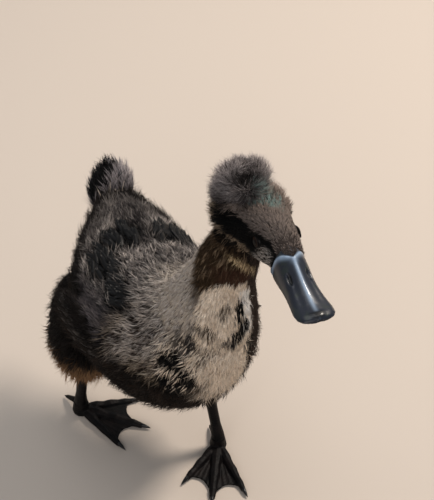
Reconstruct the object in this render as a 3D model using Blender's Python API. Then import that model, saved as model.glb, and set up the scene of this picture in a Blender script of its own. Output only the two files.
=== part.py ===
# A young crested duck, about six weeks old, standing with its left foot ahead of its right.
# Metres, +Z up. The bill points towards -Y and the bird's left side is +X.
# The solids are the outer surface of the coat: a loft of egg-shaped sections for the body,
# cut into torso and neck, with head, crest, bill, wings, tail, thighs, shanks and feet set on it.

import math
import random

import bmesh
import bpy
from mathutils import Matrix, Vector

# Space that touching pieces keep between them
GAP = 0.0003

# Carriage: how far the whole body is tipped up at the breast, about a point between the hips
BODY_PITCH = math.radians(10)
PITCH_AHEAD = 0.0
PITCH_UP = 0.140

# The body's sections from tail root to neck top, before it is tipped up:
# ahead, up, side, half width, height above and depth below the line
BODY_ROWS = (
    (-0.084, 0.173, 0.016, 0.014, 0.011, 0.011),
    (-0.074, 0.169, 0.015, 0.024, 0.019, 0.022),
    (-0.054, 0.161, 0.011, 0.037, 0.030, 0.040),
    (-0.022, 0.151, 0.005, 0.050, 0.041, 0.057),
    (0.018, 0.146, 0.003, 0.057, 0.047, 0.063),
    (0.054, 0.151, 0.0045, 0.0545, 0.049, 0.061),
    (0.082, 0.170, 0.0105, 0.0445, 0.043, 0.051),
    (0.098, 0.196, 0.0175, 0.0335, 0.032, 0.038),
    (0.107, 0.222, 0.0220, 0.0255, 0.026, 0.027),
    (0.116, 0.243, 0.0265, 0.0232, 0.0225, 0.022),
    (0.123, 0.261, 0.0315, 0.0225, 0.0195, 0.019),
    (0.128, 0.275, 0.0360, 0.0210, 0.017, 0.016),
)
BODY_STEPS = 3
BODY_SIDES = 28
NECK_ROW = 7.0
NECK_END_ROW = 10.6

# Head: where its middle stands in the body's frame, how it is turned, and its sections along
# its own line, from the back of the skull to the bill: ahead, up, side, half width, above, below
HEAD_AHEAD = 0.116
HEAD_UP = 0.296
HEAD_SIDE = 0.047
HEAD_PITCH = math.radians(8.5)
HEAD_YAW = math.radians(-6)
HEAD_ROWS = (
    (-0.032, 0.000, -0.0095, 0.0120, 0.0105, 0.0130),
    (-0.026, 0.000, -0.0090, 0.0182, 0.0155, 0.0185),
    (-0.012, 0.000, -0.0070, 0.0215, 0.0194, 0.0218),
    (0.003, 0.000, -0.0044, 0.0188, 0.0195, 0.0206),
    (0.014, -0.001, -0.0022, 0.0156, 0.0180, 0.0185),
    (0.023, -0.003, -0.0005, 0.0132, 0.0140, 0.0160),
    (0.030, -0.006, 0.0000, 0.0112, 0.0100, 0.0115),
)
HEAD_STEPS = 2
HEAD_SIDES = 24
BROW_POINT_AHEAD = 0.036
BROW_POINT_HALF_WIDTH = 0.0040

# Eyes
EYE_RADIUS = 0.0050
EYE_AHEAD = 0.0134
EYE_UP = 0.0018
EYE_SIDE = 0.0104
EYE_MIDDLE = -0.0015
LID_THICKNESS = 0.0009
LID_HALF_LENGTH = 0.0046
LID_HALF_HEIGHT = 0.0036

# Bill, along its own line from the corner of the mouth
BILL_AHEAD = 0.0325
BILL_UP = -0.0148
BILL_PITCH = math.radians(-1)
BILL_LENGTH = 0.0480
BILL_WIDTH = 0.0245
BILL_BASE_HEIGHT = 0.0190
BILL_SIDES = 10
# share of the length, half width and height as shares of the width and the base height
BILL_ROWS = (
    (-0.14, 0.430, 1.02),
    (0.00, 0.445, 0.99),
    (0.12, 0.440, 0.90),
    (0.26, 0.425, 0.75),
    (0.42, 0.430, 0.57),
    (0.60, 0.465, 0.41),
    (0.76, 0.500, 0.30),
    (0.88, 0.480, 0.235),
    (0.95, 0.390, 0.19),
    (0.985, 0.260, 0.15),
    (0.999, 0.110, 0.12),
)
LOWER_BILL_SHARE = 0.90
LOWER_BILL_WIDTH_SHARE = 0.86
LOWER_BILL_DEPTH = 0.0042
NOSTRIL_SHARE = 0.30
NOSTRIL_LENGTH = 0.0070
NOSTRIL_HEIGHT = 0.0026

# Crest: a puff of loose feathers on the back of the crown
CREST_AHEAD = -0.0175
CREST_UP = 0.0255
CREST_SIDE = -0.0125
CREST_CORE = 0.0095
CREST_REACH = 0.0190
CREST_LOCKS = 58
CREST_LOCK_WIDTH = 0.0055
CREST_LOCK_THICKNESS = 0.0010

# Tail: short, cocked up, with its feathers still half grown
TAIL_AHEAD = -0.080
TAIL_UP = 0.171
TAIL_SIDE = 0.017
TAIL_COCK = math.radians(25)
TAIL_YAW = math.radians(12)
TAIL_LENGTH = 0.042
TAIL_FEATHERS = 9
TAIL_FAN = math.radians(2)
TAIL_HALF_WIDTH = 0.0080
TAIL_FEATHER_WIDTH = 0.0085
VANE_THICKNESS = 0.0008

# Wings: short, folded on the sides
WING_ROWS = (
    # body row, degrees above the side, half height, half thickness
    (5.75, 2.0, 0.010, 0.0030),
    (5.45, 1.0, 0.019, 0.0060),
    (4.80, -2.0, 0.025, 0.0072),
    (4.25, -4.0, 0.026, 0.0070),
    (3.75, -5.0, 0.023, 0.0058),
    (3.30, -6.0, 0.016, 0.0040),
    (3.00, -7.0, 0.008, 0.0020),
)
WING_STEPS = 2
WING_SIDES = 18
WING_TIERS = (
    # vanes, length, width, first and last body row, first and last degrees, lift off the wing
    (8, 0.030, 0.0130, 4.9, 3.35, -24.0, 6.0, 0.0000),
    (7, 0.023, 0.0130, 5.1, 3.75, -15.0, 7.0, 0.0018),
    (6, 0.018, 0.0130, 5.2, 4.10, -5.0, 9.0, 0.0034),
)

# Legs: the left foot stands ahead of the right
STANCE_HALF_WIDTH = 0.042
LEFT_FOOT_AHEAD = 0.049
RIGHT_FOOT_AHEAD = -0.029
LEFT_TOE_IN = math.radians(29)
RIGHT_TOE_IN = math.radians(45)
HOCK_UP = 0.062
LEFT_HOCK_BACK = 0.016
RIGHT_HOCK_BACK = -0.008
HIP_UP = 0.116
HIP_SIDE = 0.0340
LEFT_HIP_AHEAD = 0.010
RIGHT_HIP_AHEAD = -0.022
THIGH_SIDES = 16
SHANK_SIDES = 12

# Feet
ANKLE_UP = 0.0120
TOES = (
    # degrees off the foot's heading, towards the outer side, length, root radius
    (-32.0, 0.041, 0.0038),
    (-1.0, 0.052, 0.0042),
    (28.0, 0.048, 0.0038),
)
TOE_SIDES = 8
CLAW_LENGTH = 0.0065
CLAW_RADIUS = 0.0017
WEB_UP = 0.0012
WEB_THICKNESS = 0.0012
WEB_SHARE = 0.94
HIND_TOE_LENGTH = 0.013

LEFT = 1.0
RIGHT = -1.0


# Places and shapes

def place(side, ahead, up):
    """A point or a direction from the bird's own left, ahead and up."""
    return Vector((side, -ahead, up))


def between(low, high, share):
    return low + (high - low) * share


def row_at(rows, where):
    """The row at a whole or part number, on a Catmull-Rom curve through the rows."""
    last = len(rows) - 1
    first = min(max(int(math.floor(where)), 0), last - 1)
    t = where - first
    a = rows[max(first - 1, 0)]
    b = rows[first]
    c = rows[first + 1]
    d = rows[min(first + 2, last)]
    made = []
    for p, q, r, s in zip(a, b, c, d):
        made.append(
            q + 0.5 * t * (r - p + t * (2 * p - 5 * q + 4 * r - s + t * (3 * (q - r) + s - p)))
        )
    return made


def tipped(ahead, up):
    """A point of the level body, tipped up with the carriage: its new ahead and up."""
    a = ahead - PITCH_AHEAD
    u = up - PITCH_UP
    c = math.cos(BODY_PITCH)
    s = math.sin(BODY_PITCH)
    return PITCH_AHEAD + a * c - u * s, PITCH_UP + a * s + u * c


def body_frame(where):
    """Centre, direction and upward side of the body's section at a row, and its three radii."""
    ahead, up, side, half_wide, above, below = row_at(BODY_ROWS, where)
    step = 0.02
    back = row_at(BODY_ROWS, where - step)
    front = row_at(BODY_ROWS, where + step)
    here = tipped(ahead, up)
    a = tipped(back[0], back[1])
    b = tipped(front[0], front[1])
    along = place(0, b[0] - a[0], b[1] - a[1]).normalized()
    upward = along.cross(place(1, 0, 0)).normalized()
    if upward.dot(place(0, -0.2, 1)) < 0:
        upward.negate()
    return place(side, *here), along, upward, half_wide, above, below


def body_point(where, degrees, side, lift=0.0):
    """A point on the body's surface at a row and an angle above the side, and its outward normal."""
    centre, _, upward, half_wide, above, below = body_frame(where)
    turn = math.radians(degrees)
    rise = above if turn > 0 else below
    across = place(side, 0, 0)
    point = centre + across * (half_wide * math.cos(turn)) + upward * (rise * math.sin(turn))
    normal = across * (math.cos(turn) / half_wide) + upward * (math.sin(turn) / rise)
    normal.normalize()
    return point + normal * lift, normal


def egg_ring(centre, across, upward, half_wide, above, below, sides):
    ring = []
    for k in range(sides):
        turn = 2 * math.pi * k / sides
        rise = above if math.sin(turn) > 0 else below
        ring.append(
            centre + across * (half_wide * math.cos(turn)) + upward * (rise * math.sin(turn))
        )
    return ring


# Objects

def new_object(name, mesh_maker):
    maker = bmesh.new()
    mesh_maker(maker)
    bmesh.ops.recalc_face_normals(maker, faces=maker.faces)
    mesh = bpy.data.meshes.new(name)
    maker.to_mesh(mesh)
    maker.free()
    made = bpy.data.objects.new(name, mesh)
    parts.objects.link(made)
    return made


def loft(name, rings, first_pole=None, last_pole=None):
    """A closed solid through rings of equal count, its ends flat or drawn to a point."""

    def build(maker):
        rows = [[maker.verts.new(p) for p in ring] for ring in rings]
        count = len(rows[0])
        for a, b in zip(rows, rows[1:]):
            for k in range(count):
                n = (k + 1) % count
                maker.faces.new((a[k], a[n], b[n], b[k]))
        for ring, pole in ((rows[0], first_pole), (rows[-1], last_pole)):
            if pole is None:
                maker.faces.new(ring)
                continue
            tip = maker.verts.new(pole)
            for k in range(count):
                maker.faces.new((ring[k], ring[(k + 1) % count], tip))

    return new_object(name, build)


def blade(name, points, faces, widths, thickness):
    """A flat tapered vane or lock along points, its last point the tip.
    Both faces are split into triangles alike, so that a bent one can't cross itself."""

    def build(maker):
        rows = []
        for i, (point, face, width) in enumerate(zip(points[:-1], faces, widths)):
            along = (points[i + 1] - points[max(i - 1, 0)]).normalized()
            across = along.cross(face).normalized()
            out = across.cross(along).normalized() * (thickness / 2)
            half = across * (width / 2)
            corners = (point - half + out, point + half + out, point + half - out, point - half - out)
            rows.append([maker.verts.new(c) for c in corners])
        for a, b in zip(rows, rows[1:]):
            for k in range(4):
                n = (k + 1) % 4
                if k == 2:
                    maker.faces.new((a[n], b[k], a[k]))
                    maker.faces.new((a[n], b[n], b[k]))
                else:
                    maker.faces.new((a[k], a[n], b[n]))
                    maker.faces.new((a[k], b[n], b[k]))
        maker.faces.new((rows[0][0], rows[0][1], rows[0][2]))
        maker.faces.new((rows[0][0], rows[0][2], rows[0][3]))
        tip = maker.verts.new(points[-1])
        for k in range(4):
            maker.faces.new((rows[-1][k], rows[-1][(k + 1) % 4], tip))

    return new_object(name, build)


def ball(name, centre, radii, turn=None, across=14, down=9):
    """An egg-shaped solid from a UV sphere, with its three radii along the bird's side, length and height."""

    def build(maker):
        bmesh.ops.create_uvsphere(maker, u_segments=across, v_segments=down, radius=1)
        size = Matrix.Diagonal((radii[0], radii[1], radii[2], 1))
        turned = turn.to_4x4() if turn else Matrix.Identity(4)
        bmesh.ops.transform(maker, matrix=Matrix.Translation(centre) @ turned @ size, verts=maker.verts)

    return new_object(name, build)


def box(name, low, high):
    def build(maker):
        bmesh.ops.create_cube(maker, size=1)
        middle = (low + high) / 2
        size = high - low
        grow = Matrix.Diagonal((size.x, size.y, size.z, 1))
        bmesh.ops.transform(maker, matrix=Matrix.Translation(middle) @ grow, verts=maker.verts)

    return new_object(name, build)


def swollen(source, by):
    """A cutter the shape of another solid, grown by a gap."""
    made = source.copy()
    made.data = source.data.copy()
    parts.objects.link(made)
    maker = bmesh.new()
    maker.from_mesh(made.data)
    maker.normal_update()
    moves = [(v, v.normal.copy()) for v in maker.verts]
    for vertex, normal in moves:
        vertex.co += normal * by
    maker.to_mesh(made.data)
    maker.free()
    return made


def remove(things):
    for thing in list(things):
        mesh = thing.data
        bpy.data.objects.remove(thing)
        bpy.data.meshes.remove(mesh)


def apply_modifiers(target):
    graph = bpy.context.evaluated_depsgraph_get()
    made = bpy.data.meshes.new_from_object(target.evaluated_get(graph))
    old = target.data
    target.modifiers.clear()
    target.data = made
    bpy.data.meshes.remove(old)


def keep_largest(target):
    """Keeps only the closed surface that holds the most."""
    maker = bmesh.new()
    maker.from_mesh(target.data)
    left = set(maker.faces)
    shells = []
    while left:
        shell = set()
        todo = [left.pop()]
        while todo:
            face = todo.pop()
            shell.add(face)
            for edge in face.edges:
                for other in edge.link_faces:
                    if other in left:
                        left.remove(other)
                        todo.append(other)
        shells.append(shell)

    def volume(shell):
        total = 0.0
        for face in shell:
            first = face.verts[0].co
            for a, b in zip(face.verts[1:], face.verts[2:]):
                total += first.dot(a.co.cross(b.co)) / 6
        return total

    shells.sort(key=volume, reverse=True)
    dropped = [f for shell in shells[1:] for f in shell]
    bmesh.ops.delete(maker, geom=dropped, context="FACES")
    maker.to_mesh(target.data)
    maker.free()


def fuse(name, pieces):
    """One solid from pieces that overlap."""
    body = pieces[0]
    body.name = name
    if len(pieces) > 1:
        joined = bpy.data.collections.new("to join")
        bpy.context.scene.collection.children.link(joined)
        for piece in pieces[1:]:
            parts.objects.unlink(piece)
            joined.objects.link(piece)
        union = body.modifiers.new("union", "BOOLEAN")
        union.operation = "UNION"
        union.operand_type = "COLLECTION"
        union.collection = joined
        union.solver = "MANIFOLD"
        apply_modifiers(body)
        remove(joined.objects)
        bpy.data.collections.remove(joined)
    keep_largest(body)
    return body


def carve(target, cutters):
    """Cuts other solids out of a solid, and removes the cutters."""
    for cutter in cutters:
        cutter.hide_render = True
        cutter.display_type = "WIRE"
        cut = target.modifiers.new("cut", "BOOLEAN")
        cut.operation = "DIFFERENCE"
        cut.object = cutter
        cut.solver = "MANIFOLD"
        apply_modifiers(target)
    remove(cutters)
    keep_largest(target)
    return target


# Torso and neck: one loft, parted at the base of the neck

def body_rings(first, last, start_gap=0.0):
    count = max(2, round((last - first) * BODY_STEPS))
    rings = []
    for i in range(count + 1):
        centre, along, upward, half_wide, above, below = body_frame(between(first, last, i / count))
        if i == 0:
            centre = centre + along * start_gap
        rings.append(egg_ring(centre, place(1, 0, 0), upward, half_wide, above, below, BODY_SIDES))
    return rings


def make_torso():
    return loft("torso", body_rings(0.0, NECK_ROW))


def make_neck():
    return loft("neck", body_rings(NECK_ROW, NECK_END_ROW, GAP))


# Head

def head_matrix():
    turn = Matrix.Rotation(HEAD_YAW, 4, "Z") @ Matrix.Rotation(HEAD_PITCH, 4, place(-1, 0, 0))
    return Matrix.Translation(place(HEAD_SIDE, HEAD_AHEAD, HEAD_UP)) @ turn


def on_head(side, ahead, up):
    return head_matrix() @ place(side, ahead, up)


def head_way(side, ahead, up):
    return (head_matrix().to_3x3() @ place(side, ahead, up)).normalized()


def make_skull():
    count = (len(HEAD_ROWS) - 1) * HEAD_STEPS
    across = head_way(1, 0, 0)
    upward = head_way(0, 0, 1)
    rings = []
    for i in range(count + 1):
        ahead, up, side, half_wide, above, below = row_at(HEAD_ROWS, i / HEAD_STEPS)
        rings.append(egg_ring(on_head(side, ahead, up), across, upward, half_wide, above, below, HEAD_SIDES))
    back = HEAD_ROWS[0]
    front = HEAD_ROWS[-1]
    return loft(
        "skull",
        rings,
        on_head(back[2], back[0] - 0.0035, back[1]),
        on_head(front[2], front[0] + 0.0020, front[1]),
    )


def make_brow_point():
    """The tongue of feathers that runs forward from the forehead onto the bill."""
    low = HEAD_ROWS[-2]
    middle = (low[0] + BROW_POINT_AHEAD) / 2
    radii = (BROW_POINT_HALF_WIDTH, BROW_POINT_AHEAD - middle, 0.0018)
    return ball("brow", on_head(0, middle, 0.0038), radii, head_matrix().to_3x3() @ brow_tilt())


def brow_tilt():
    return Matrix.Rotation(math.radians(-24), 3, place(-1, 0, 0))


def eye_place(side):
    return on_head(EYE_MIDDLE + side * EYE_SIDE, EYE_AHEAD, EYE_UP)


def make_head():
    pieces = [make_skull(), make_brow_point()]
    for side in (LEFT, RIGHT):
        lid = EYE_RADIUS + GAP + LID_THICKNESS
        pieces.append(ball("lid", eye_place(side), (lid, lid, lid)))
    head = fuse("head", pieces)
    cutters = []
    for side in (LEFT, RIGHT):
        room = EYE_RADIUS + GAP
        cutters.append(ball("socket", eye_place(side), (room, room, room)))
        opening = (EYE_RADIUS * 2, LID_HALF_LENGTH, LID_HALF_HEIGHT)
        centre = on_head(EYE_MIDDLE + side * (EYE_SIDE + EYE_RADIUS * 1.6), EYE_AHEAD, EYE_UP)
        cutters.append(ball("opening", centre, opening, head_matrix().to_3x3()))
    return carve(head, cutters)


def make_eye(name, side):
    return ball(name, eye_place(side), (EYE_RADIUS,) * 3, across=14, down=10)


# Bill

def bill_matrix():
    turn = Matrix.Rotation(BILL_PITCH, 4, place(-1, 0, 0))
    return head_matrix() @ Matrix.Translation(place(0, BILL_AHEAD, BILL_UP)) @ turn


def bill_row(share):
    """Half width and height of the upper bill at a share of its length."""
    rows = BILL_ROWS
    for a, b in zip(rows, rows[1:]):
        if share <= b[0]:
            t = (share - a[0]) / (b[0] - a[0])
            return between(a[1], b[1], t) * BILL_WIDTH, between(a[2], b[2], t) * BILL_BASE_HEIGHT
    return rows[-1][1] * BILL_WIDTH, rows[-1][2] * BILL_BASE_HEIGHT


def bill_edge_up(share):
    """The line of the mouth: it sags a little in the middle and turns up at the tip."""
    return -0.0012 * math.sin(math.pi * min(max(share, 0), 1)) + 0.0008 * share


def make_upper_bill(head_cutter):
    matrix = bill_matrix()
    rings = []
    for i in range((len(BILL_ROWS) - 1) * 2 + 1):
        share, half_wide, height = row_at(BILL_ROWS, i / 2)
        half_wide *= BILL_WIDTH
        height *= BILL_BASE_HEIGHT
        edge = bill_edge_up(share)
        ring = []
        for k in range(BILL_SIDES + 1):
            turn = math.pi * k / BILL_SIDES
            arch = math.sin(turn) ** 0.85 if 0 < k < BILL_SIDES else 0.0
            ring.append(
                matrix @ place(half_wide * math.cos(turn), share * BILL_LENGTH, edge + height * arch)
            )
        hollow = 0.22 * height
        for k in (-0.55, 0.0, 0.55):
            rise = hollow * (1 - abs(k) * 0.5)
            ring.append(matrix @ place(half_wide * k, share * BILL_LENGTH, edge + rise))
        rings.append(ring)
    tip = matrix @ place(0, BILL_LENGTH * 1.004, bill_edge_up(1) + 0.0010)
    shell = loft("shell", rings, None, tip)
    nail = ball(
        "nail",
        matrix @ place(0, BILL_LENGTH * 0.905, bill_edge_up(0.905) + 0.0030),
        (0.0044, 0.0062, 0.0022),
        matrix.to_3x3() @ Matrix.Rotation(math.radians(-9), 3, place(-1, 0, 0)),
        12,
        8,
    )
    bill = fuse("bill_upper", [shell, nail])
    cutters = [head_cutter]
    half_wide, height = bill_row(NOSTRIL_SHARE)
    for side in (LEFT, RIGHT):
        centre = matrix @ place(side * half_wide * 0.72, BILL_LENGTH * NOSTRIL_SHARE, height * 0.62)
        radii = (0.0016, NOSTRIL_LENGTH / 2, NOSTRIL_HEIGHT / 2)
        lean = Matrix.Rotation(side * math.radians(-40), 3, "Y")
        cutters.append(ball("nostril", centre, radii, matrix.to_3x3() @ lean, 10, 6))
    return carve(bill, cutters)


def make_lower_bill(head_cutter):
    matrix = bill_matrix()
    rings = []
    steps = 9
    for i in range(steps + 1):
        share = between(-0.08, LOWER_BILL_SHARE, i / steps)
        half_wide = bill_row(share)[0] * LOWER_BILL_WIDTH_SHARE
        end = min(1.0, (LOWER_BILL_SHARE - share) / 0.16)
        half_wide *= 0.55 + 0.45 * math.sqrt(max(end, 0.0))
        depth = LOWER_BILL_DEPTH * between(1.0, 0.45, i / steps)
        top = bill_edge_up(share) - GAP
        ring = []
        for k in range(9):
            turn = math.pi * k / 8
            ring.append(
                matrix
                @ place(half_wide * math.cos(turn), share * BILL_LENGTH, top - 0.0008 - depth * math.sin(turn))
            )
        ring.append(matrix @ place(-half_wide, share * BILL_LENGTH, top))
        ring.append(matrix @ place(half_wide, share * BILL_LENGTH, top))
        rings.append(ring)
    return carve(loft("bill_lower", rings), [head_cutter])


# Crest

def make_crest(head_cutter):
    draw = random.Random(11)
    centre = on_head(CREST_SIDE, CREST_AHEAD, CREST_UP)
    core = ball(
        "core", centre, (CREST_CORE * 1.05, CREST_CORE, CREST_CORE), head_matrix().to_3x3(), 14, 9
    )
    pieces = [core]
    golden = math.pi * (3 - math.sqrt(5))
    for i in range(CREST_LOCKS):
        level = 1 - (i + 0.5) / CREST_LOCKS * 1.46
        around = i * golden
        flat = math.sqrt(max(0.0, 1 - level * level))
        way = head_way(flat * math.sin(around), flat * math.cos(around) - 0.18, level + 0.10)
        sideways = way.cross(head_way(draw.uniform(-1, 1), draw.uniform(-1, 1), draw.uniform(-0.3, 0.3)))
        sideways.normalize()
        face = sideways.cross(way).normalized()
        reach = CREST_REACH * draw.uniform(0.88, 1.04)
        width = CREST_LOCK_WIDTH * draw.uniform(0.85, 1.15)
        curl = draw.uniform(-0.10, 0.16)
        droop = head_way(0, -0.35, -1) * (0.10 * flat)
        points = []
        faces = []
        for share in (0.32, 0.62, 0.86, 1.0):
            sway = face * (curl * share * share * reach)
            points.append(centre + way * (reach * share) + sway + droop * (share * share * reach))
            faces.append(face)
        widths = [width * w for w in (0.75, 1.0, 0.72)]
        pieces.append(blade("lock", points, faces, widths, CREST_LOCK_THICKNESS))
    return carve(fuse("crest", pieces), [head_cutter])


# Tail

def tail_frame():
    """Root, direction, side and upper side of the tail."""
    ahead, up = tipped(TAIL_AHEAD, TAIL_UP)
    root = place(TAIL_SIDE, ahead, up)
    along = place(0, -math.cos(TAIL_COCK), math.sin(TAIL_COCK))
    along = Matrix.Rotation(-TAIL_YAW, 3, "Z") @ along
    across = along.cross(Vector((0, 0, 1))).normalized()
    upper = across.cross(along).normalized()
    if across.x < 0:
        across.negate()
    return root, along, across, upper


def tail_vane(root, along, across, upper, spread, offset, start, length, width, lift, arch):
    """One tail feather, set off to the side, fanned out and bowed towards its tip."""
    way = along * math.cos(spread) + across * math.sin(spread)
    face = (upper * math.cos(spread * 0.5) + across * math.sin(spread * 0.5)).normalized()
    face = (face - way * face.dot(way)).normalized()
    base = root + way * start + across * offset + upper * lift
    points = []
    for share in (0.0, 0.45, 0.82, 1.0):
        points.append(base + way * (length * share) - face * (arch * share * share))
    widths = [width * w for w in (0.6, 0.95, 0.88)]
    return blade("vane", points, [face] * 4, widths, VANE_THICKNESS)


def make_tail(torso_cutter):
    root, along, across, upper = tail_frame()
    rings = []
    for share, half_wide, half_high in (
        (-0.22, 0.0235, 0.0165),
        (0.05, 0.0215, 0.0150),
        (0.25, 0.0180, 0.0120),
        (0.42, 0.0140, 0.0085),
        (0.56, 0.0095, 0.0048),
    ):
        centre = root + along * (share * TAIL_LENGTH)
        rings.append(egg_ring(centre, across, upper, half_wide, half_high, half_high, 18))
    pieces = [loft("stub", rings, None, root + along * (0.60 * TAIL_LENGTH))]
    middle = (TAIL_FEATHERS - 1) / 2
    for i in range(TAIL_FEATHERS):
        place_in_fan = (i - middle) / middle
        spread = TAIL_FAN * place_in_fan
        lift = 0.0020 - 0.0050 * abs(place_in_fan) - 0.0003 * (i % 2)
        length = TAIL_LENGTH * (0.80 - 0.08 * place_in_fan * place_in_fan)
        pieces.append(
            tail_vane(root, along, across, upper, spread, TAIL_HALF_WIDTH * place_in_fan,
                      0.20 * TAIL_LENGTH, length, TAIL_FEATHER_WIDTH, lift, 0.0020)
        )
    # vanes, share of the tail's length, height above its middle, width, half width of the row
    tiers = ((6, 0.66, 0.0075, 0.0110, 0.010), (7, 0.44, 0.0105, 0.0115, 0.015),
             (6, 0.60, -0.0070, 0.0110, 0.010))
    for count, share, lift, width, half_row in tiers:
        half = (count - 1) / 2
        for i in range(count):
            place_in_fan = (i - half) / half
            drop = math.copysign(0.0035, lift) * place_in_fan * place_in_fan
            pieces.append(
                tail_vane(root, along, across, upper, TAIL_FAN * -0.6 * place_in_fan,
                          half_row * place_in_fan, 0.02 * TAIL_LENGTH, TAIL_LENGTH * share, width,
                          lift - drop, 0.0045 * math.copysign(1, lift))
            )
    return carve(fuse("tail", pieces), [torso_cutter])


# Wings

def wing_lift(where, degrees):
    """How far the folded wing stands out from the body at a row and an angle."""
    rows = sorted(WING_ROWS)
    if where <= rows[0][0] or where >= rows[-1][0]:
        return 0.0
    for a, b in zip(rows, rows[1:]):
        if where <= b[0]:
            t = (where - a[0]) / (b[0] - a[0])
            middle, half_high, half_thick = (between(p, q, t) for p, q in zip(a[1:], b[1:]))
            break
    _, _, _, half_wide, above, _ = body_frame(where)
    off = math.radians(degrees - middle) * (half_wide + above) / 2 / half_high
    if abs(off) >= 1:
        return 0.0
    return half_thick * 1.15 * math.sqrt(1 - off * off)


def wing_vane(side, where, degrees, length, width, lift):
    """One wing feather, lying back along the wing and the body."""
    points = []
    faces = []
    for share in (0.0, 0.45, 0.82, 1.0):
        step = where - share * length / 0.040
        angle = degrees + share * 3
        out = max(wing_lift(step, angle) + 0.0010 + lift * (1 - 0.6 * share), 0.0016)
        point, normal = body_point(step, angle, side, out)
        points.append(point)
        faces.append(normal)
    widths = [width * w for w in (0.65, 1.0, 0.86)]
    return blade("vane", points, faces, widths, VANE_THICKNESS)


def make_wing(name, side, cutters):
    rings = []
    count = (len(WING_ROWS) - 1) * WING_STEPS
    stations = []
    for i in range(count + 1):
        where, degrees, half_high, half_thick = row_at(WING_ROWS, i / WING_STEPS)
        point, normal = body_point(where, degrees, side)
        stations.append((point + normal * (half_thick * 0.15), normal, half_high, half_thick))
    for i, (point, normal, half_high, half_thick) in enumerate(stations):
        ahead = stations[max(i - 1, 0)][0]
        behind = stations[min(i + 1, count)][0]
        along = (behind - ahead).normalized()
        upward = along.cross(normal).normalized()
        out = upward.cross(along).normalized()
        rings.append(egg_ring(point, upward, out, half_high, half_thick, half_thick, WING_SIDES))
    first = stations[0][0] + (stations[0][0] - stations[1][0]) * 0.6
    last = stations[-1][0] + (stations[-1][0] - stations[-2][0]) * 0.5
    pieces = [loft("arm", rings, first, last)]
    for vanes, length, width, near, far, low, high, lift in WING_TIERS:
        for i in range(vanes):
            t = i / (vanes - 1)
            pieces.append(
                wing_vane(side, between(near, far, t), between(low, high, t), length, width,
                          lift + 0.0004 * (i % 2))
            )
    return carve(fuse(name, pieces), cutters)


# Legs

def foot_place(side):
    return place(side * STANCE_HALF_WIDTH, LEFT_FOOT_AHEAD if side == LEFT else RIGHT_FOOT_AHEAD, 0)


def hock_place(side):
    back = LEFT_HOCK_BACK if side == LEFT else RIGHT_HOCK_BACK
    return foot_place(side) + place(-side * 0.002, -back, HOCK_UP)


def hip_place(side):
    ahead = LEFT_HIP_AHEAD if side == LEFT else RIGHT_HIP_AHEAD
    return place(side * HIP_SIDE, ahead, HIP_UP)


def tube_rings(stations, sides, across):
    """Rings square to a line of (point, half width, half depth) stations."""
    rings = []
    for i, (point, half_wide, half_deep) in enumerate(stations):
        before = stations[max(i - 1, 0)][0]
        after = stations[min(i + 1, len(stations) - 1)][0]
        along = (after - before).normalized()
        other = along.cross(across).normalized()
        level = other.cross(along).normalized()
        rings.append(egg_ring(point, level, other, half_wide, half_deep, half_deep, sides))
    return rings


def make_thigh(name, side, cutters):
    hip = hip_place(side)
    hock = hock_place(side)
    knee = hip + place(side * 0.006, 0.010, -0.012)
    stations = (
        (*(hip + place(-side * 0.010, -0.010, 0.034)), 0.005, 0.007),
        (*(hip + place(-side * 0.004, -0.008, 0.024)), 0.0145, 0.021),
        (*(hip + place(0, -0.003, 0.008)), 0.0228, 0.032),
        (*(knee.lerp(hock, 0.20)), 0.0217, 0.030),
        (*(knee.lerp(hock, 0.42)), 0.0165, 0.0220),
        (*(knee.lerp(hock, 0.64)), 0.0110, 0.0140),
        (*(knee.lerp(hock, 0.84)), 0.0076, 0.0090),
        (*(knee.lerp(hock, 0.97)), 0.0062, 0.0070),
    )
    smooth = []
    for i in range((len(stations) - 1) * 2 + 1):
        x, y, z, half_wide, half_deep = row_at(stations, i / 2)
        smooth.append((Vector((x, y, z)), half_wide, half_deep))
    rings = tube_rings(smooth, THIGH_SIDES, place(1, 0, 0))
    return carve(loft(name, rings), cutters)


def make_shank(name, side, cutters):
    hock = hock_place(side)
    ankle = foot_place(side) + place(0, 0, ANKLE_UP + GAP)
    leg = ankle - hock
    stations = [
        (hock - leg * 0.10, 0.0046, 0.0052),
        (hock - leg * 0.03, 0.0060, 0.0070),
        (hock + leg * 0.06, 0.0064, 0.0074),
        (hock + leg * 0.18, 0.0050, 0.0060),
        (hock + leg * 0.45, 0.0041, 0.0050),
        (hock + leg * 0.75, 0.0040, 0.0049),
        (hock + leg * 0.92, 0.0050, 0.0056),
        (hock + leg * 1.06, 0.0054, 0.0060),
    ]
    rings = tube_rings(stations, SHANK_SIDES, place(1, 0, 0))
    return carve(loft(name, rings), cutters)


def foot_matrix(side):
    toe_in = LEFT_TOE_IN if side == LEFT else RIGHT_TOE_IN
    return Matrix.Translation(foot_place(side)) @ Matrix.Rotation(-side * toe_in, 4, "Z")


def toe_rings(matrix, way, length, radius):
    """A toe with three knuckles, its sole flat on the floor."""
    rings = []
    for share, grow in (
        (0.0, 1.15), (0.15, 0.98), (0.30, 1.10), (0.44, 0.92), (0.58, 1.04),
        (0.74, 0.84), (0.86, 0.90), (1.0, 0.64),
    ):
        size = radius * grow * between(1.0, 0.82, share)
        centre = way * (length * share) + place(0, 0, size * 0.80)
        across = Vector((-way.y, way.x, 0))
        ring = egg_ring(centre, across, place(0, 0, 1), size, size * 0.95, size * 0.95, TOE_SIDES)
        rings.append([matrix @ p for p in ring])
    return rings


def toe_way(degrees, side):
    turn = math.radians(degrees) * side
    return place(math.sin(turn), math.cos(turn), 0)


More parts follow.
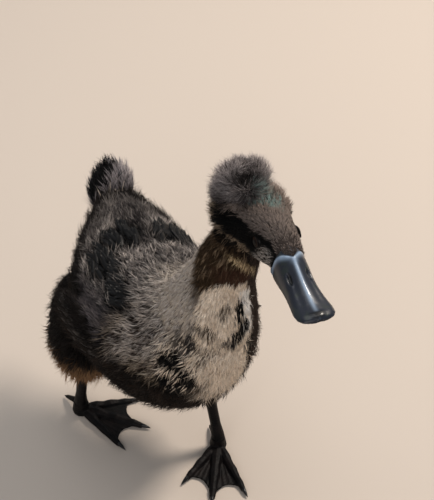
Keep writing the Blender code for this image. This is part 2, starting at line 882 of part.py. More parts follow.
def claw_rings(matrix, way, length, radius):
    rings = []
    for share, grow in ((-0.35, 1.0), (0.0, 1.0), (0.4, 0.80), (0.75, 0.45)):
        drop = 0.0022 * share * share
        centre = way * (length + CLAW_LENGTH * share) + place(0, 0, radius * 0.95 - drop * 0.3)
        across = Vector((-way.y, way.x, 0))
        size = CLAW_RADIUS * grow
        ring = egg_ring(centre, across, place(0, 0, 1), size * 0.8, size, size, 8)
        rings.append([matrix @ p for p in ring])
    tip = matrix @ (way * (length + CLAW_LENGTH) + place(0, 0, 0.0009))
    return rings, tip


def make_web(matrix, side):
    """The skin between the toes, with a hollow front edge in each of its two spans."""
    lines = [(toe_way(d, side), length) for d, length, _ in TOES]
    outline = [place(0, -0.002, 0)]
    for (way_a, length_a), (way_b, length_b) in zip(lines, lines[1:]):
        start = way_a * (length_a * WEB_SHARE)
        end = way_b * (length_b * WEB_SHARE)
        for k in range(6):
            t = k / 6
            bow = 0.13 * math.sin(math.pi * t)
            outline.append(start.lerp(end, t) * (1 - bow))
    way, length = lines[-1]
    outline.append(way * (length * WEB_SHARE))

    def build(maker):
        low = [maker.verts.new(matrix @ (p + place(0, 0, WEB_UP))) for p in outline]
        high = [maker.verts.new(matrix @ (p + place(0, 0, WEB_UP + WEB_THICKNESS))) for p in outline]
        count = len(outline)
        for k in range(1, count - 1):
            maker.faces.new((low[0], low[k], low[k + 1]))
            maker.faces.new((high[0], high[k + 1], high[k]))
        for k in range(count):
            n = (k + 1) % count
            maker.faces.new((low[k], high[k], high[n], low[n]))

    return new_object("web", build)


def make_foot(name, side):
    matrix = foot_matrix(side)
    pad_rings = []
    for up, half_wide, half_deep in (
        (-0.002, 0.0062, 0.0068), (0.003, 0.0068, 0.0074), (0.0075, 0.0060, 0.0066),
        (ANKLE_UP, 0.0054, 0.0060),
    ):
        ring = egg_ring(place(0, 0, up), place(1, 0, 0), place(0, 1, 0), half_wide, half_deep, half_deep, 12)
        pad_rings.append([matrix @ p for p in ring])
    pieces = [loft("pad", pad_rings), make_web(matrix, side)]
    for degrees, length, radius in TOES:
        way = toe_way(degrees, side)
        rings = toe_rings(matrix, way, length, radius)
        pieces.append(loft("toe", rings))
        rings, tip = claw_rings(matrix, way, length, radius * 0.62)
        pieces.append(loft("claw", rings, None, tip))
    back = place(-side * 0.45, -1, 0).normalized()
    rings = []
    for share, size, up in ((-0.2, 0.0026, 0.0085), (0.3, 0.0026, 0.0075), (0.7, 0.0021, 0.0052), (1.0, 0.0015, 0.0036)):
        centre = back * (0.004 + HIND_TOE_LENGTH * share) + place(0, 0, up)
        across = Vector((-back.y, back.x, 0))
        rings.append([matrix @ p for p in egg_ring(centre, across, place(0, 0, 1), size, size, size, 8)])
    tip = matrix @ (back * (0.004 + HIND_TOE_LENGTH + 0.004) + place(0, 0, 0.0016))
    pieces.append(loft("hind toe", rings, None, tip))
    foot = fuse(name, pieces)
    floor = box("floor", Vector((-0.5, -0.5, -0.05)), Vector((0.5, 0.5, 0.0)))
    return carve(foot, [floor])


# Finish

def give_material(target, colour, roughness, metallic=0.0):
    material = bpy.data.materials.new(target.name)
    material.use_nodes = True
    shader = material.node_tree.nodes["Principled BSDF"]
    shader.inputs["Base Color"].default_value = (*colour, 1.0)
    shader.inputs["Roughness"].default_value = roughness
    shader.inputs["Metallic"].default_value = metallic
    target.data.materials.clear()
    target.data.materials.append(material)
    target.data.polygons.foreach_set("use_smooth", [True] * len(target.data.polygons))


def stand_on_centre(things):
    """Moves the bird so that the origin lies on the floor under the middle of its box."""
    corners = [v.co for thing in things for v in thing.data.vertices]
    middle = Vector((
        (min(c.x for c in corners) + max(c.x for c in corners)) / 2,
        (min(c.y for c in corners) + max(c.y for c in corners)) / 2,
        0,
    ))
    for thing in things:
        thing.data.transform(Matrix.Translation(-middle))


def main():
    torso = make_torso()
    neck = make_neck()
    head = make_head()
    eyes = [make_eye("eye_left", LEFT), make_eye("eye_right", RIGHT)]
    carve(neck, [swollen(head, GAP)])
    bills = [make_upper_bill(swollen(head, GAP)), make_lower_bill(swollen(head, GAP))]
    crest = make_crest(swollen(head, GAP))
    tail = make_tail(swollen(torso, GAP))
    wings = []
    shanks = []
    thighs = []
    for name, side in (("left", LEFT), ("right", RIGHT)):
        thigh = make_thigh("thigh_" + name, side, [swollen(torso, GAP)])
        foot = make_foot("foot_" + name, side)
        shank = make_shank("shank_" + name, side, [swollen(thigh, GAP), swollen(foot, GAP)])
        wing = make_wing("wing_" + name, side, [swollen(torso, GAP * 1.6), swollen(thigh, GAP * 1.6)])
        wings.append(wing)
        thighs.append(thigh)
        shanks.extend((shank, foot))
    down = (0.09, 0.08, 0.075)
    for thing in (torso, neck, head, tail, *wings, *thighs):
        give_material(thing, down, 0.85)
    give_material(crest, (0.08, 0.078, 0.085), 0.85)
    for thing in bills:
        give_material(thing, (0.035, 0.042, 0.05), 0.25)
    for thing in eyes:
        give_material(thing, (0.012, 0.008, 0.006), 0.05)
    for thing in shanks:
        give_material(thing, (0.045, 0.035, 0.032), 0.5)
    stand_on_centre([torso, neck, head, crest, tail, *eyes, *bills, *wings, *thighs, *shanks])


for old in list(bpy.data.objects):
    bpy.data.objects.remove(old)
parts = bpy.data.collections.new("crested duck")
bpy.context.scene.collection.children.link(parts)
main()
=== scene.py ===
import math

import bpy
import numpy as np
from mathutils import Matrix, Vector
from mathutils.bvhtree import BVHTree
from mathutils.kdtree import KDTree


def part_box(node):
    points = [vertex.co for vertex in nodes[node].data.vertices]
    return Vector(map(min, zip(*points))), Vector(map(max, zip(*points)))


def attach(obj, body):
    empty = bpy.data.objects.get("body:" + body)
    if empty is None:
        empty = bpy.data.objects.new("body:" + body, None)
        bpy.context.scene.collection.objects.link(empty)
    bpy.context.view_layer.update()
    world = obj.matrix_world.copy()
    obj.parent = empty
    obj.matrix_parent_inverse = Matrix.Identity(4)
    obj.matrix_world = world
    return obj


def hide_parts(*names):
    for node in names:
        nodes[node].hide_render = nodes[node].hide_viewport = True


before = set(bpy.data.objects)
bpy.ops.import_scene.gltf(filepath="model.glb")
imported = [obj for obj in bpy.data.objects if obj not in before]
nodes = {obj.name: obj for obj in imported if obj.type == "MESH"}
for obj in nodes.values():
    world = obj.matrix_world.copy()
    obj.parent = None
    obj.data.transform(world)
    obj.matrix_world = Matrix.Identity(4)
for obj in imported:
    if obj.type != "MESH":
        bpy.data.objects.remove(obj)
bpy.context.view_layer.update()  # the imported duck: one still body, its nodes round it
chance = np.random.default_rng(7)

bird = {
    # middle of the body from the tail's root to the top of the neck, in metres: -Y is ahead, +X is its left side
    "spine": ((0.0127, 0.1264, 0.1579), (0.0117, 0.1158, 0.1557), (0.0077, 0.0947, 0.1513),
              (0.0017, 0.0615, 0.1470), (-0.0003, 0.0212, 0.1490), (0.0012, -0.0134, 0.1602),
              (0.0072, -0.0376, 0.1838), (0.0142, -0.0489, 0.2122), (0.0187, -0.0532, 0.2393),
              (0.0232, -0.0585, 0.2616), (0.0282, -0.0622, 0.2805), (0.0327, -0.0647, 0.2952)),
    "headMiddle": (0.0437, -0.0781, 0.2960),
    "headPitch": 8.5,
    "headYaw": -6.0,
    "billRoot": (0.0, 0.0325, -0.0148),  # side, ahead and up from the head's middle
    "crest": (-0.0125, -0.0175, 0.0255),
    "tailRoot": (0.0137, 0.1221, 0.1567),
    "tailCock": 25.0,
    "tailYaw": 12.0,
}


def linear(code):  # an sRGB hex colour as linear numbers
    parts = [int(code[i:i + 2], 16) / 255 for i in (1, 3, 5)]
    return np.array([c / 12.92 if c <= 0.04045 else ((c + 0.055) / 1.055) ** 2.4 for c in parts])


def unit(v):
    return v / np.maximum(np.linalg.norm(v, axis=-1, keepdims=True), 1e-9)


def flattened(v, normal):  # the share of v that lies in the surface
    return v - normal * np.sum(v * normal, axis=-1, keepdims=True)


headTurn = (Matrix.Rotation(math.radians(bird["headYaw"]), 3, "Z")
            @ Matrix.Rotation(math.radians(bird["headPitch"]), 3, Vector((-1, 0, 0))))
headMiddle = Vector(bird["headMiddle"])


def onHead(side, ahead, up):
    return headMiddle + headTurn @ Vector((side, -ahead, up))


def headWay(side, ahead, up):
    return (headTurn @ Vector((side, -ahead, up))).normalized()


crestMiddle = np.array(onHead(*bird["crest"]))
tailWay = Matrix.Rotation(-math.radians(bird["tailYaw"]), 3, "Z") @ Vector(
    (0, math.cos(math.radians(bird["tailCock"])), math.sin(math.radians(bird["tailCock"]))))
tailAcross = tailWay.cross(Vector((0, 0, 1))).normalized()
tailUpper = tailAcross.cross(tailWay).normalized()
tailRoot = Vector(bird["tailRoot"])


# tools

def selectOnly(*things):
    bpy.ops.object.select_all(action="DESELECT")
    for thing in things:
        thing.select_set(True)
    bpy.context.view_layer.objects.active = things[0]


def nodeCopy(name, newName):  # a CAD node's shape in a mesh of its own, with its doubles merged
    made = bpy.data.objects.new(newName, nodes[name].data.copy())
    bpy.context.scene.collection.objects.link(made)
    made.data.materials.clear()
    selectOnly(made)
    bpy.ops.object.mode_set(mode="EDIT")
    bpy.ops.mesh.select_all(action="SELECT")
    bpy.ops.mesh.remove_doubles(threshold=0.00001)
    bpy.ops.object.mode_set(mode="OBJECT")
    return made


def joined(things, name):
    selectOnly(*things)
    bpy.ops.object.join()
    made = bpy.context.view_layer.objects.active
    made.name = name
    return made


def finishWith(thing, kind, **settings):  # adds a modifier and applies it
    selectOnly(thing)
    step = thing.modifiers.new(kind, kind)
    for key, value in settings.items():
        setattr(step, key, value)
    bpy.ops.object.modifier_apply(modifier=step.name)


def coordinates(thing):
    flat = np.empty(len(thing.data.vertices) * 3, np.float32)
    thing.data.vertices.foreach_get("co", flat)
    return flat.reshape(-1, 3).astype(float)


def vertexNormals(thing):
    flat = np.empty(len(thing.data.vertices) * 3, np.float32)
    thing.data.vertices.foreach_get("normal", flat)
    return flat.reshape(-1, 3).astype(float)


def setCoordinates(thing, points):
    thing.data.vertices.foreach_set("co", points.astype(np.float32).ravel())
    thing.data.update()


def shadeSmooth(thing):
    thing.data.polygons.foreach_set("use_smooth", [True] * len(thing.data.polygons))
    thing.data.update()


def paintPoints(thing, colours, name="coatColour"):
    layer = thing.data.color_attributes.new(name, "FLOAT_COLOR", "POINT")
    filled = np.ones((len(colours), 4), np.float32)
    filled[:, :3] = colours
    layer.data.foreach_set("color", filled.ravel())


def meshFrom(name, points, faces, colours, uv, material, slotName):  # a piece from rows of triangles
    mesh = bpy.data.meshes.new(name)
    mesh.vertices.add(len(points))
    mesh.vertices.foreach_set("co", points.astype(np.float32).ravel())
    mesh.loops.add(faces.size)
    mesh.loops.foreach_set("vertex_index", faces.astype(np.int32).ravel())
    mesh.polygons.add(len(faces))
    mesh.polygons.foreach_set("loop_start", np.arange(0, faces.size, 3, dtype=np.int32))
    mesh.polygons.foreach_set("use_smooth", np.ones(len(faces), bool))
    mesh.update(calc_edges=True)
    made = bpy.data.objects.new(name, mesh)
    bpy.context.scene.collection.objects.link(made)
    paintPoints(made, colours)
    if uv is not None:
        layer = mesh.uv_layers.new(name="OFBake")
        layer.data.foreach_set("uv", uv[faces.ravel()].astype(np.float32).ravel())
    mesh.materials.append(material)
    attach(made, "root")
    print(name, len(faces))
    return made


def addNode(tree, kind, links=(), values=(), **settings):
    node = tree.nodes.new(kind)
    for key, value in settings.items():
        setattr(node, key, value)
    for key, value in dict(values).items():
        node.inputs[key].default_value = value
    for key, source in dict(links).items():
        tree.links.new(source, node.inputs[key])
    return node


def newMaterial(name):
    made = bpy.data.materials.new(name)
    made.use_nodes = True
    shader = made.node_tree.nodes["Principled BSDF"]
    return made, made.node_tree, shader


def softNoise(points, size, seed):  # -1 to 1, smooth, one swell about every size metres
    q = points / size + seed * 17.31
    cell = np.floor(q).astype(np.int64)
    f = q - cell
    f = f * f * (3 - 2 * f)
    total = np.zeros(len(points))
    for dx in (0, 1):
        for dy in (0, 1):
            for dz in (0, 1):
                h = ((cell[:, 0] + dx) * 73856093) ^ ((cell[:, 1] + dy) * 19349663) ^ ((cell[:, 2] + dz) * 83492791)
                h = (h ^ (h >> 13)) & 0x7FFFFFFF
                h = (h * 1103515245 + 12345 + seed * 7919) & 0x7FFFFFFF
                h = ((h ^ (h >> 15)) * 69069) & 0x7FFFFFFF
                value = h / 0x3FFFFFFF - 1
                wx = f[:, 0] if dx else 1 - f[:, 0]
                wy = f[:, 1] if dy else 1 - f[:, 1]
                wz = f[:, 2] if dz else 1 - f[:, 2]
                total += value * wx * wy * wz
    return total


def smoothStep(low, high, value):
    t = np.clip((value - low) / (high - low), 0, 1)
    return t * t * (3 - 2 * t)


# skin: one closed surface under the whole coat

skinLook = {
    "voxel": 0.00125,
    # how deep the skin lies under the solids' surface, which is the coat's
    "depth": {"torso": 0.0034, "neck": 0.0028, "head": 0.0014, "thigh_left": 0.0030, "thigh_right": 0.0030,
              "wing_left": 0.0016, "wing_right": 0.0016, "tail": 0.0010},
    "napeDepth": 0.0034,  # more, at the back of the neck
    "wingSize": (0.0085, 0.040, 0.0230),
    "tailSize": (0.0165, 0.028, 0.0105),
    # side, ahead and up from the crest's middle, radius
    "crestBalls": ((0.0, 0.0, 0.0, 0.0098), (-0.0050, 0.0010, -0.0040, 0.0080), (0.0052, -0.0010, -0.0012, 0.0080),
                   (-0.0010, -0.0050, -0.0050, 0.0086)),
}


def wingCore(name, side):  # the folded arm under its feathers, an egg laid against the flank
    low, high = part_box(name)
    middle = (low + high) / 2
    bpy.ops.mesh.primitive_uv_sphere_add(segments=24, ring_count=16, radius=1)
    core = bpy.context.view_layer.objects.active
    turn = Matrix.Rotation(math.radians(-9 * side), 4, "Z") @ Matrix.Rotation(math.radians(-10), 4, "X")
    core.data.transform(Matrix.Translation(Vector((side * 0.0520, middle.y - 0.004, middle.z + 0.003))) @ turn
                        @ Matrix.Diagonal((*skinLook["wingSize"], 1)))
    return core


def tailCore():
    bpy.ops.mesh.primitive_uv_sphere_add(segments=24, ring_count=16, radius=1)
    core = bpy.context.view_layer.objects.active
    turn = Matrix((tailAcross, tailWay, tailUpper)).transposed().to_4x4()
    core.data.transform(Matrix.Translation(tailRoot + tailWay * 0.002) @ turn
                        @ Matrix.Diagonal((*skinLook["tailSize"], 1)))
    return core


def crestCore():  # the lumpy knob of skin and fat under the puff
    cores = []
    for side, ahead, up, radius in skinLook["crestBalls"]:
        bpy.ops.mesh.primitive_uv_sphere_add(segments=24, ring_count=16, radius=radius)
        cores.append(bpy.context.view_layer.objects.active)
        cores[-1].data.transform(Matrix.Translation(Vector(crestMiddle) + headTurn @ Vector((side, -ahead, up))))
    return cores


def makeSkin():
    bpy.ops.object.select_all(action="DESELECT")
    flesh = ["torso", "neck", "head", "thigh_left", "thigh_right", "eye_left", "eye_right"]
    pieces = [nodeCopy(name, name + "Copy") for name in flesh]
    pieces += [wingCore("wing_left", 1), wingCore("wing_right", -1), tailCore(), *crestCore()]
    skin = joined(pieces, "skin")
    finishWith(skin, "REMESH", mode="VOXEL", voxel_size=skinLook["voxel"], adaptivity=0.0)
    finishWith(skin, "SMOOTH", factor=0.5, iterations=8)
    return skin


skin = makeSkin()
print("skin", len(skin.data.vertices))

nearby = {}
for nodeName in ("torso", "neck", "head", "thigh_left", "thigh_right", "wing_left", "wing_right", "tail", "crest"):
    mesh = nodes[nodeName].data
    nearby[nodeName] = BVHTree.FromPolygons([v.co for v in mesh.vertices], [p.vertices for p in mesh.polygons])
regionNames = list(nearby)


def regionOf(points):
    found = np.zeros(len(points), int)
    for i, point in enumerate(points):
        spot = Vector(point)
        best = 1.0
        for k, tree in enumerate(nearby.values()):
            hit = tree.find_nearest(spot, best)
            if hit[0] is not None and hit[3] < best:
                best = hit[3]
                found[i] = k
    return found


skinPoints = coordinates(skin)
skinRegion = regionOf(skinPoints)
spine = np.array(bird["spine"])
spineSteps = np.arange(0, 11.01, 0.125)
fineSpine = np.stack([np.interp(spineSteps, np.arange(12), spine[:, k]) for k in range(3)], axis=1)
spineWay = unit(np.gradient(fineSpine, axis=0)) * -1  # towards the tail


def alongSpine(points):  # which step of the spine is nearest, 0 at the tail
    found = np.empty(len(points), int)
    for start in range(0, len(points), 4000):
        part = points[start:start + 4000]
        gaps = np.linalg.norm(part[:, None, :] - fineSpine[None, :, :], axis=2)
        found[start:start + 4000] = gaps.argmin(axis=1)
    return found


def edgePairs(thing):
    flat = np.empty(len(thing.data.edges) * 2, np.int32)
    thing.data.edges.foreach_get("vertices", flat)
    return flat.reshape(-1, 2)


def spread(values, pairs, rounds):  # evens values out over the skin
    count = np.bincount(pairs.ravel(), minlength=len(values))[:, None] + 1
    for _ in range(rounds):
        total = values.copy()
        for axis in range(values.shape[1]):
            total[:, axis] += np.bincount(pairs[:, 0], values[pairs[:, 1], axis], len(values))
            total[:, axis] += np.bincount(pairs[:, 1], values[pairs[:, 0], axis], len(values))
        values = total / count
    return values


def isRegion(region, *names):
    return np.isin(region, [regionNames.index(n) for n in names])


skinPairs = edgePairs(skin)
depthTable = np.array([skinLook["depth"].get(n, 0.0010) for n in regionNames])
nape = isRegion(skinRegion, "neck") * smoothStep(0.225, 0.250, skinPoints[:, 2]) * smoothStep(0.2, -0.5, vertexNormals(skin)[:, 0])
depth = spread((depthTable[skinRegion] + skinLook["napeDepth"] * nape)[:, None], skinPairs, 14)
rootOfBill = np.array(onHead(*bird["billRoot"]) + headTurn @ Vector((0, 0, 0.008)))
byBill = smoothStep(0.018, 0.006, np.linalg.norm(skinPoints - rootOfBill, axis=1))[:, None]
depth = depth * (1 - byBill * 0.7)
skinPoints = skinPoints - vertexNormals(skin) * depth
setCoordinates(skin, skinPoints)
skinNormals = unit(spread(vertexNormals(skin), skinPairs, 4))


def layCoat(points, region):  # from bill to tail, down the thighs, out from the crest
    way = spineWay[alongSpine(points)].copy()
    way[isRegion(region, "head")] = np.array(headWay(0, -1, -0.35))
    way[isRegion(region, "thigh_left", "thigh_right")] = unit(np.array([0.0, 0.35, -1.0]))
    way[isRegion(region, "tail")] = np.array(tailWay)
    wing = isRegion(region, "wing_left", "wing_right")
    way[wing] = unit(way[wing] + np.array([0, 0.2, 0.0]))
    crest = isRegion(region, "crest")
    way[crest] = unit(points[crest] - crestMiddle + 1e-6)
    return way


skinLie = layCoat(skinPoints, skinRegion)
skinLie = unit(flattened(spread(skinLie, skinPairs, 40), skinNormals))
print("lie of the coat")

selectOnly(skin)
bpy.ops.object.mode_set(mode="EDIT")
bpy.ops.mesh.select_all(action="SELECT")
bpy.ops.uv.smart_project(angle_limit=math.radians(66), island_margin=0.002)
bpy.ops.object.mode_set(mode="OBJECT")
skin.data.uv_layers[0].name = "OFBake"
print("unwrap")

# markings and some painted light and shade, the same for skin and coat: each kind has a colour at the root and one at
# the tip

plumageAndPaintedLight = {
    "back": ("#221e1e", "#857e7a"), "backPale": ("#4a4442", "#d3c9c1"), "backDark": ("#0f0d0e", "#2e2a2b"),
    "black": ("#020202", "#070708"), "flank": ("#070605", "#1a1513"), "flankBrown": ("#100b08", "#33271f"),
    "band": ("#0d0b0c", "#5c5658"), "tan": ("#362b22", "#c0ad95"), "tanPale": ("#8a7c6a", "#f4e8d5"),
    "neckBrown": ("#120c07", "#40301f"), "neckStreak": ("#3a2e23", "#98836c"), "mantle": ("#968a80", "#f2e6da"),
    # the bib in its own white, in painted shade and in a painted sunlit strip
    "bib": ("#e2cfba", "#fdf0e0"), "bibPaintedShade": ("#bfa78e", "#eadac7"), "bibPaintedSunlight": ("#efe9e2", "#fbf8f4"),
    "cream": ("#a08763", "#e3cca6"), "throat": ("#150b07", "#4c3225"), "forehead": ("#3a3330", "#7c716b"),
    "crown": ("#2c2421", "#8e8077"), "mask": ("#010101", "#050505"), "face": ("#2c2927", "#cbc2ba"),
    "ear": ("#2b221c", "#a8957f"), "teal": ("#343f3e", "#7d9793"), "thigh": ("#3a291c", "#a5815f"),
    "tail": ("#373335", "#8d8688"), "tailTip": ("#5c5658", "#c4bcba"), "crest": ("#0b0a0a", "#433d3d"),
    "crestPaintedLight": ("#2b2829", "#aea5a3"), "edge": ("#120d0b", "#41352f"),
}
tone = {name: np.stack([linear(deep), linear(tip)]) for name, (deep, tip) in plumageAndPaintedLight.items()}

# the white bib from the throat down: its right edge, its left edge and the height
bibEdge = ((0.0120, 0.0275, 0.2520), (0.0051, 0.0300, 0.2429), (-0.0030, 0.0318, 0.2267), (-0.0085, 0.0315, 0.2150),
           (-0.0130, 0.0305, 0.2051), (-0.0236, 0.0285, 0.1938), (-0.0281, 0.0265, 0.1800), (-0.0265, 0.0255, 0.1700),
           (-0.0205, 0.0230, 0.1561), (-0.0050, 0.0160, 0.1460))

# one patch each: x, y, z, half length along the lie, half width, plumage, strength
patches = (
    (0.0120, -0.0790, 0.2310, 0.0055, 0.0042, "neckBrown", 0.9), (0.0222, -0.0813, 0.2285, 0.0085, 0.0038, "black", 1.0),
    (0.0253, -0.0827, 0.2150, 0.0055, 0.0045, "black", 1.0), (0.0194, -0.0844, 0.2104, 0.0065, 0.0045, "black", 1.0),
    (0.0134, -0.0851, 0.2062, 0.0045, 0.0042, "backDark", 1.0), (-0.0014, -0.0784, 0.2163, 0.0050, 0.0060, "neckBrown", 1.0),
    (-0.0067, -0.0728, 0.2188, 0.0035, 0.0055, "backDark", 0.7), (-0.0143, -0.0657, 0.2113, 0.0045, 0.0070, "backDark", 0.6),
    (-0.0171, -0.0682, 0.1995, 0.0065, 0.0070, "backDark", 0.9), (-0.0106, -0.0731, 0.2045, 0.0060, 0.0055, "backDark", 0.95),
    (-0.0243, -0.0644, 0.1870, 0.0085, 0.0068, "black", 1.0), (-0.0200, -0.0705, 0.1830, 0.0075, 0.0052, "black", 1.0),
    (-0.0165, -0.0745, 0.1750, 0.0085, 0.0050, "black", 1.0), (-0.0140, -0.0765, 0.1680, 0.0080, 0.0055, "black", 1.0),
    (-0.0260, -0.0650, 0.1700, 0.0090, 0.0048, "black", 1.0), (-0.0210, -0.0690, 0.1600, 0.0085, 0.0058, "black", 1.0),
    (-0.0130, -0.0745, 0.1560, 0.0070, 0.0050, "black", 0.9), (0.0095, -0.0835, 0.1520, 0.0070, 0.0030, "neckBrown", 0.8),
    (-0.0066, -0.0800, 0.1948, 0.0085, 0.0040, "neckBrown", 0.85), (0.0021, -0.0830, 0.2016, 0.0070, 0.0034, "neckBrown", 0.8),
    (-0.0037, -0.0813, 0.1682, 0.0070, 0.0035, "neckBrown", 0.7), (-0.0070, -0.0768, 0.1556, 0.0085, 0.0060, "neckBrown", 0.8),
    (0.0047, -0.0740, 0.1433, 0.0080, 0.0060, "neckBrown", 0.7), (0.0300, -0.0800, 0.1930, 0.0100, 0.0030, "black", 0.9),
)


greenGloss = np.array(((0.0405, -0.0650, 0.3190), (0.0500, -0.0735, 0.3125)))  # ends of the green band before the crest
crestHollow = np.array(((0.0270, -0.0590, 0.3305), (0.0350, -0.0630, 0.3275)))  # ends of the parting at its front, painted dark as the shade in its hollow


def gapTo(points, low, high):  # distance to the line between two places
    reach = np.clip((points - low) @ (high - low) / np.sum((high - low) ** 2), 0, 1)[:, None]
    return np.linalg.norm(points - low - (high - low) * reach, axis=1)


def headPlace(points):  # side, ahead and up from the head's middle
    local = (points - np.array(headMiddle)) @ np.array(headTurn)
    return local[:, 0], -local[:, 1], local[:, 2]


def edgeAt(z, which):
    heights = [row[2] for row in bibEdge][::-1]
    return np.interp(z, heights, [row[which] for row in bibEdge][::-1])


def blob(x, y, middle, radii, wobble, soft=0.25):  # 1 inside an ellipse, 0 outside, with a ragged edge
    reach = np.hypot((x - middle[0]) / radii[0], (y - middle[1]) / radii[1]) + wobble * 90
    return smoothStep(1 + soft, 1 - soft, reach)


def markingsAndPaintedLight(points, normals, lie, region, strand, jitter):
    n = len(points)
    x, y, z = points.T
    wobble = softNoise(points, 0.006, 3) * 0.0020 + softNoise(points, 0.0022, 4) * 0.0014 + (jitter - 0.5) * 0.0034
    broad = softNoise(points, 0.020, 5)
    fine = softNoise(points, 0.005, 6)
    own = jitter - strand * 0.71  # differs from tuft to tuft inside a clump
    hair = smoothStep(0.0, 0.28, own)
    both = np.tile(tone["back"], (n, 1, 1))

    def lay(name, weight):
        both[:] = both + (tone[name] - both) * np.clip(weight, 0, 1)[:, None, None]

    body = isRegion(region, "torso", "neck").astype(float)
    wing = isRegion(region, "wing_left", "wing_right").astype(float)
    thigh = isRegion(region, "thigh_left", "thigh_right").astype(float)
    tail = isRegion(region, "tail").astype(float)
    head = isRegion(region, "head").astype(float)
    crest = isRegion(region, "crest").astype(float)
    lay("backPale", smoothStep(0.55, 0.95, strand + broad * 0.30 + fine * 0.20))
    lay("backDark", smoothStep(0.40, 0.80, 1 - strand - broad * 0.35 - fine * 0.25))
    upperBack = body * smoothStep(0.1, 0.4, normals[:, 2])
    lay("backDark", upperBack * smoothStep(0.070, 0.085, y) * (0.55 + 0.25 * broad))
    # wing: a grey band of fluff along its upper half; below it the flanks and wing are painted near-black, partly dark
    # feathers and partly painted shade of the underside
    side = smoothStep(0.035, 0.045, np.abs(x)) * smoothStep(-0.055, -0.040, y)
    lay("band", np.maximum(wing, side * body) * smoothStep(0.187, 0.180, z + wobble) * smoothStep(0.1, 0.5, strand))
    flank = np.maximum(body, wing) * smoothStep(0.173, 0.166, z + wobble * 1.2)
    lay("flank", flank)
    lay("flank", np.maximum(body, wing) * smoothStep(0.051, 0.056, np.abs(x) + wobble) * smoothStep(-0.020, 0.000, y)
        * smoothStep(0.182, 0.176, z + wobble))
    # the belly's own brown, painted dark as painted shade
    lay("flankBrown", flank * smoothStep(0.45, 0.9, strand + fine * 0.3) * smoothStep(0.164, 0.150, z) * 0.9)
    # shoulders: tan streaks between the bib and the wing
    shoulder = body * smoothStep(0.004, -0.028, y) * smoothStep(0.158, 0.168, z + wobble) * smoothStep(0.252, 0.235, z + wobble) \
        * smoothStep(0.215, 0.195, z + y * 0.6 + 0.020)
    lay("tan", shoulder * smoothStep(0.25, 0.75, strand + broad * 0.25) * smoothStep(0.020, -0.010, x - 0.006 * fine))
    lay("flankBrown", shoulder * smoothStep(0.50, 0.85, 1 - strand - broad * 0.25) * smoothStep(0.205, 0.185, z) * 0.9)
    lay("tanPale", shoulder * smoothStep(0.72, 0.95, strand) * smoothStep(0.0, -0.02, x) * smoothStep(-0.02, -0.045, y))
    lay("flankBrown", shoulder * smoothStep(0.50, 0.10, hair) * smoothStep(0.225, 0.200, z) * 0.7)
    # neck: dark brown streaks; paler on the mantle, partly pale plumage and partly painted light on the top of the body
    neck = body * smoothStep(0.222, 0.246, z + wobble * 1.5 - y * 0.2 - 0.010) \
        * smoothStep(0.003, -0.005, y + 0.054 - (z - 0.240) * 0.5 + wobble)
    mantle = body * smoothStep(0.198, 0.212, z)
    lay("mantle", mantle * smoothStep(0.15, 0.6, strand))
    lay("tanPale", mantle * smoothStep(0.35, 0.95, hair) * 0.8)
    # painted highlight: the upward faces of the back's front painted paler
    lay("backPale", upperBack * smoothStep(-0.010, -0.025, y) * smoothStep(0.30, 0.70, strand) * 0.8)
    lay("neckBrown", neck)
    lay("neckStreak", neck * smoothStep(0.70, 0.95, strand + fine * 0.20))
    lay("edge", body * smoothStep(-0.0012, 0.0012, x + wobble * 0.5 - edgeAt(z, 1)) * smoothStep(-0.035, -0.050, y)
        * smoothStep(0.140, 0.150, z))
    # bib: its own white, with painted shade and a painted sunlit strip
    front = smoothStep(0.15, -0.10, normals[:, 1] + wobble * 20)
    inside = smoothStep(-0.0012, 0.0012, x + wobble - edgeAt(z, 0)) * smoothStep(-0.0012, 0.0012, edgeAt(z, 1) - x - wobble * 0.5)
    inside = inside * smoothStep(0.143, 0.146, z + wobble) * smoothStep(0.2525, 0.2495, z + wobble) * front * body
    lay("bib", inside)
    # painted shade: a darker tan copy of the bib, laid in streaks over most of it
    lay("bibPaintedShade", inside * smoothStep(0.35, 0.9, strand + fine * 0.4) * 0.8)
    # painted light: a sunlit strip painted near white along the bib's left edge, between two heights
    lay("bibPaintedSunlight", inside * smoothStep(-0.0080, -0.0050, x + wobble - edgeAt(z, 1)) * smoothStep(0.206, 0.214, z + wobble)
        * smoothStep(0.247, 0.241, z + wobble))
    # throat: cream, then a dark brown patch below it
    onRight = smoothStep(0.036, 0.030, x + wobble)
    faces = smoothStep(0.25, -0.35, normals[:, 1])
    creamBand = np.abs(z - 0.2735 + 1.05 * (x - 0.019) + wobble)
    lay("cream", (body + head) * faces * onRight * smoothStep(0.0034, 0.0020, creamBand) * smoothStep(0.016, 0.020, x + wobble)
        * smoothStep(0.10, 0.35, strand))
    lay("throat", body * faces * smoothStep(0.0075, 0.0055, np.abs(z - 0.2590 + wobble)) * smoothStep(0.008, 0.013, x + wobble)
        * smoothStep(0.031, 0.028, x + wobble) * (0.75 + 0.25 * hair))
    for px, py, pz, long, wide, name, strength in patches:
        delta = points - np.array((px, py, pz))
        close = np.linalg.norm(delta, axis=1) < 0.020
        delta = flattened(delta, normals)
        along = np.sum(delta * lie, axis=1)
        across = np.linalg.norm(delta - lie * along[:, None], axis=1)
        reach = np.hypot(along / (long * 1.25), across / (wide * 1.20))
        streaks = {"black": smoothStep(-0.14, -0.04, own), "backDark": smoothStep(-0.10, 0.04, own)}.get(name, 0.15 + 0.85 * hair)
        lay(name, close * streaks * smoothStep(1.10, 0.90, reach + (jitter - 0.5) * 0.6 + fine * 0.25) * strength)
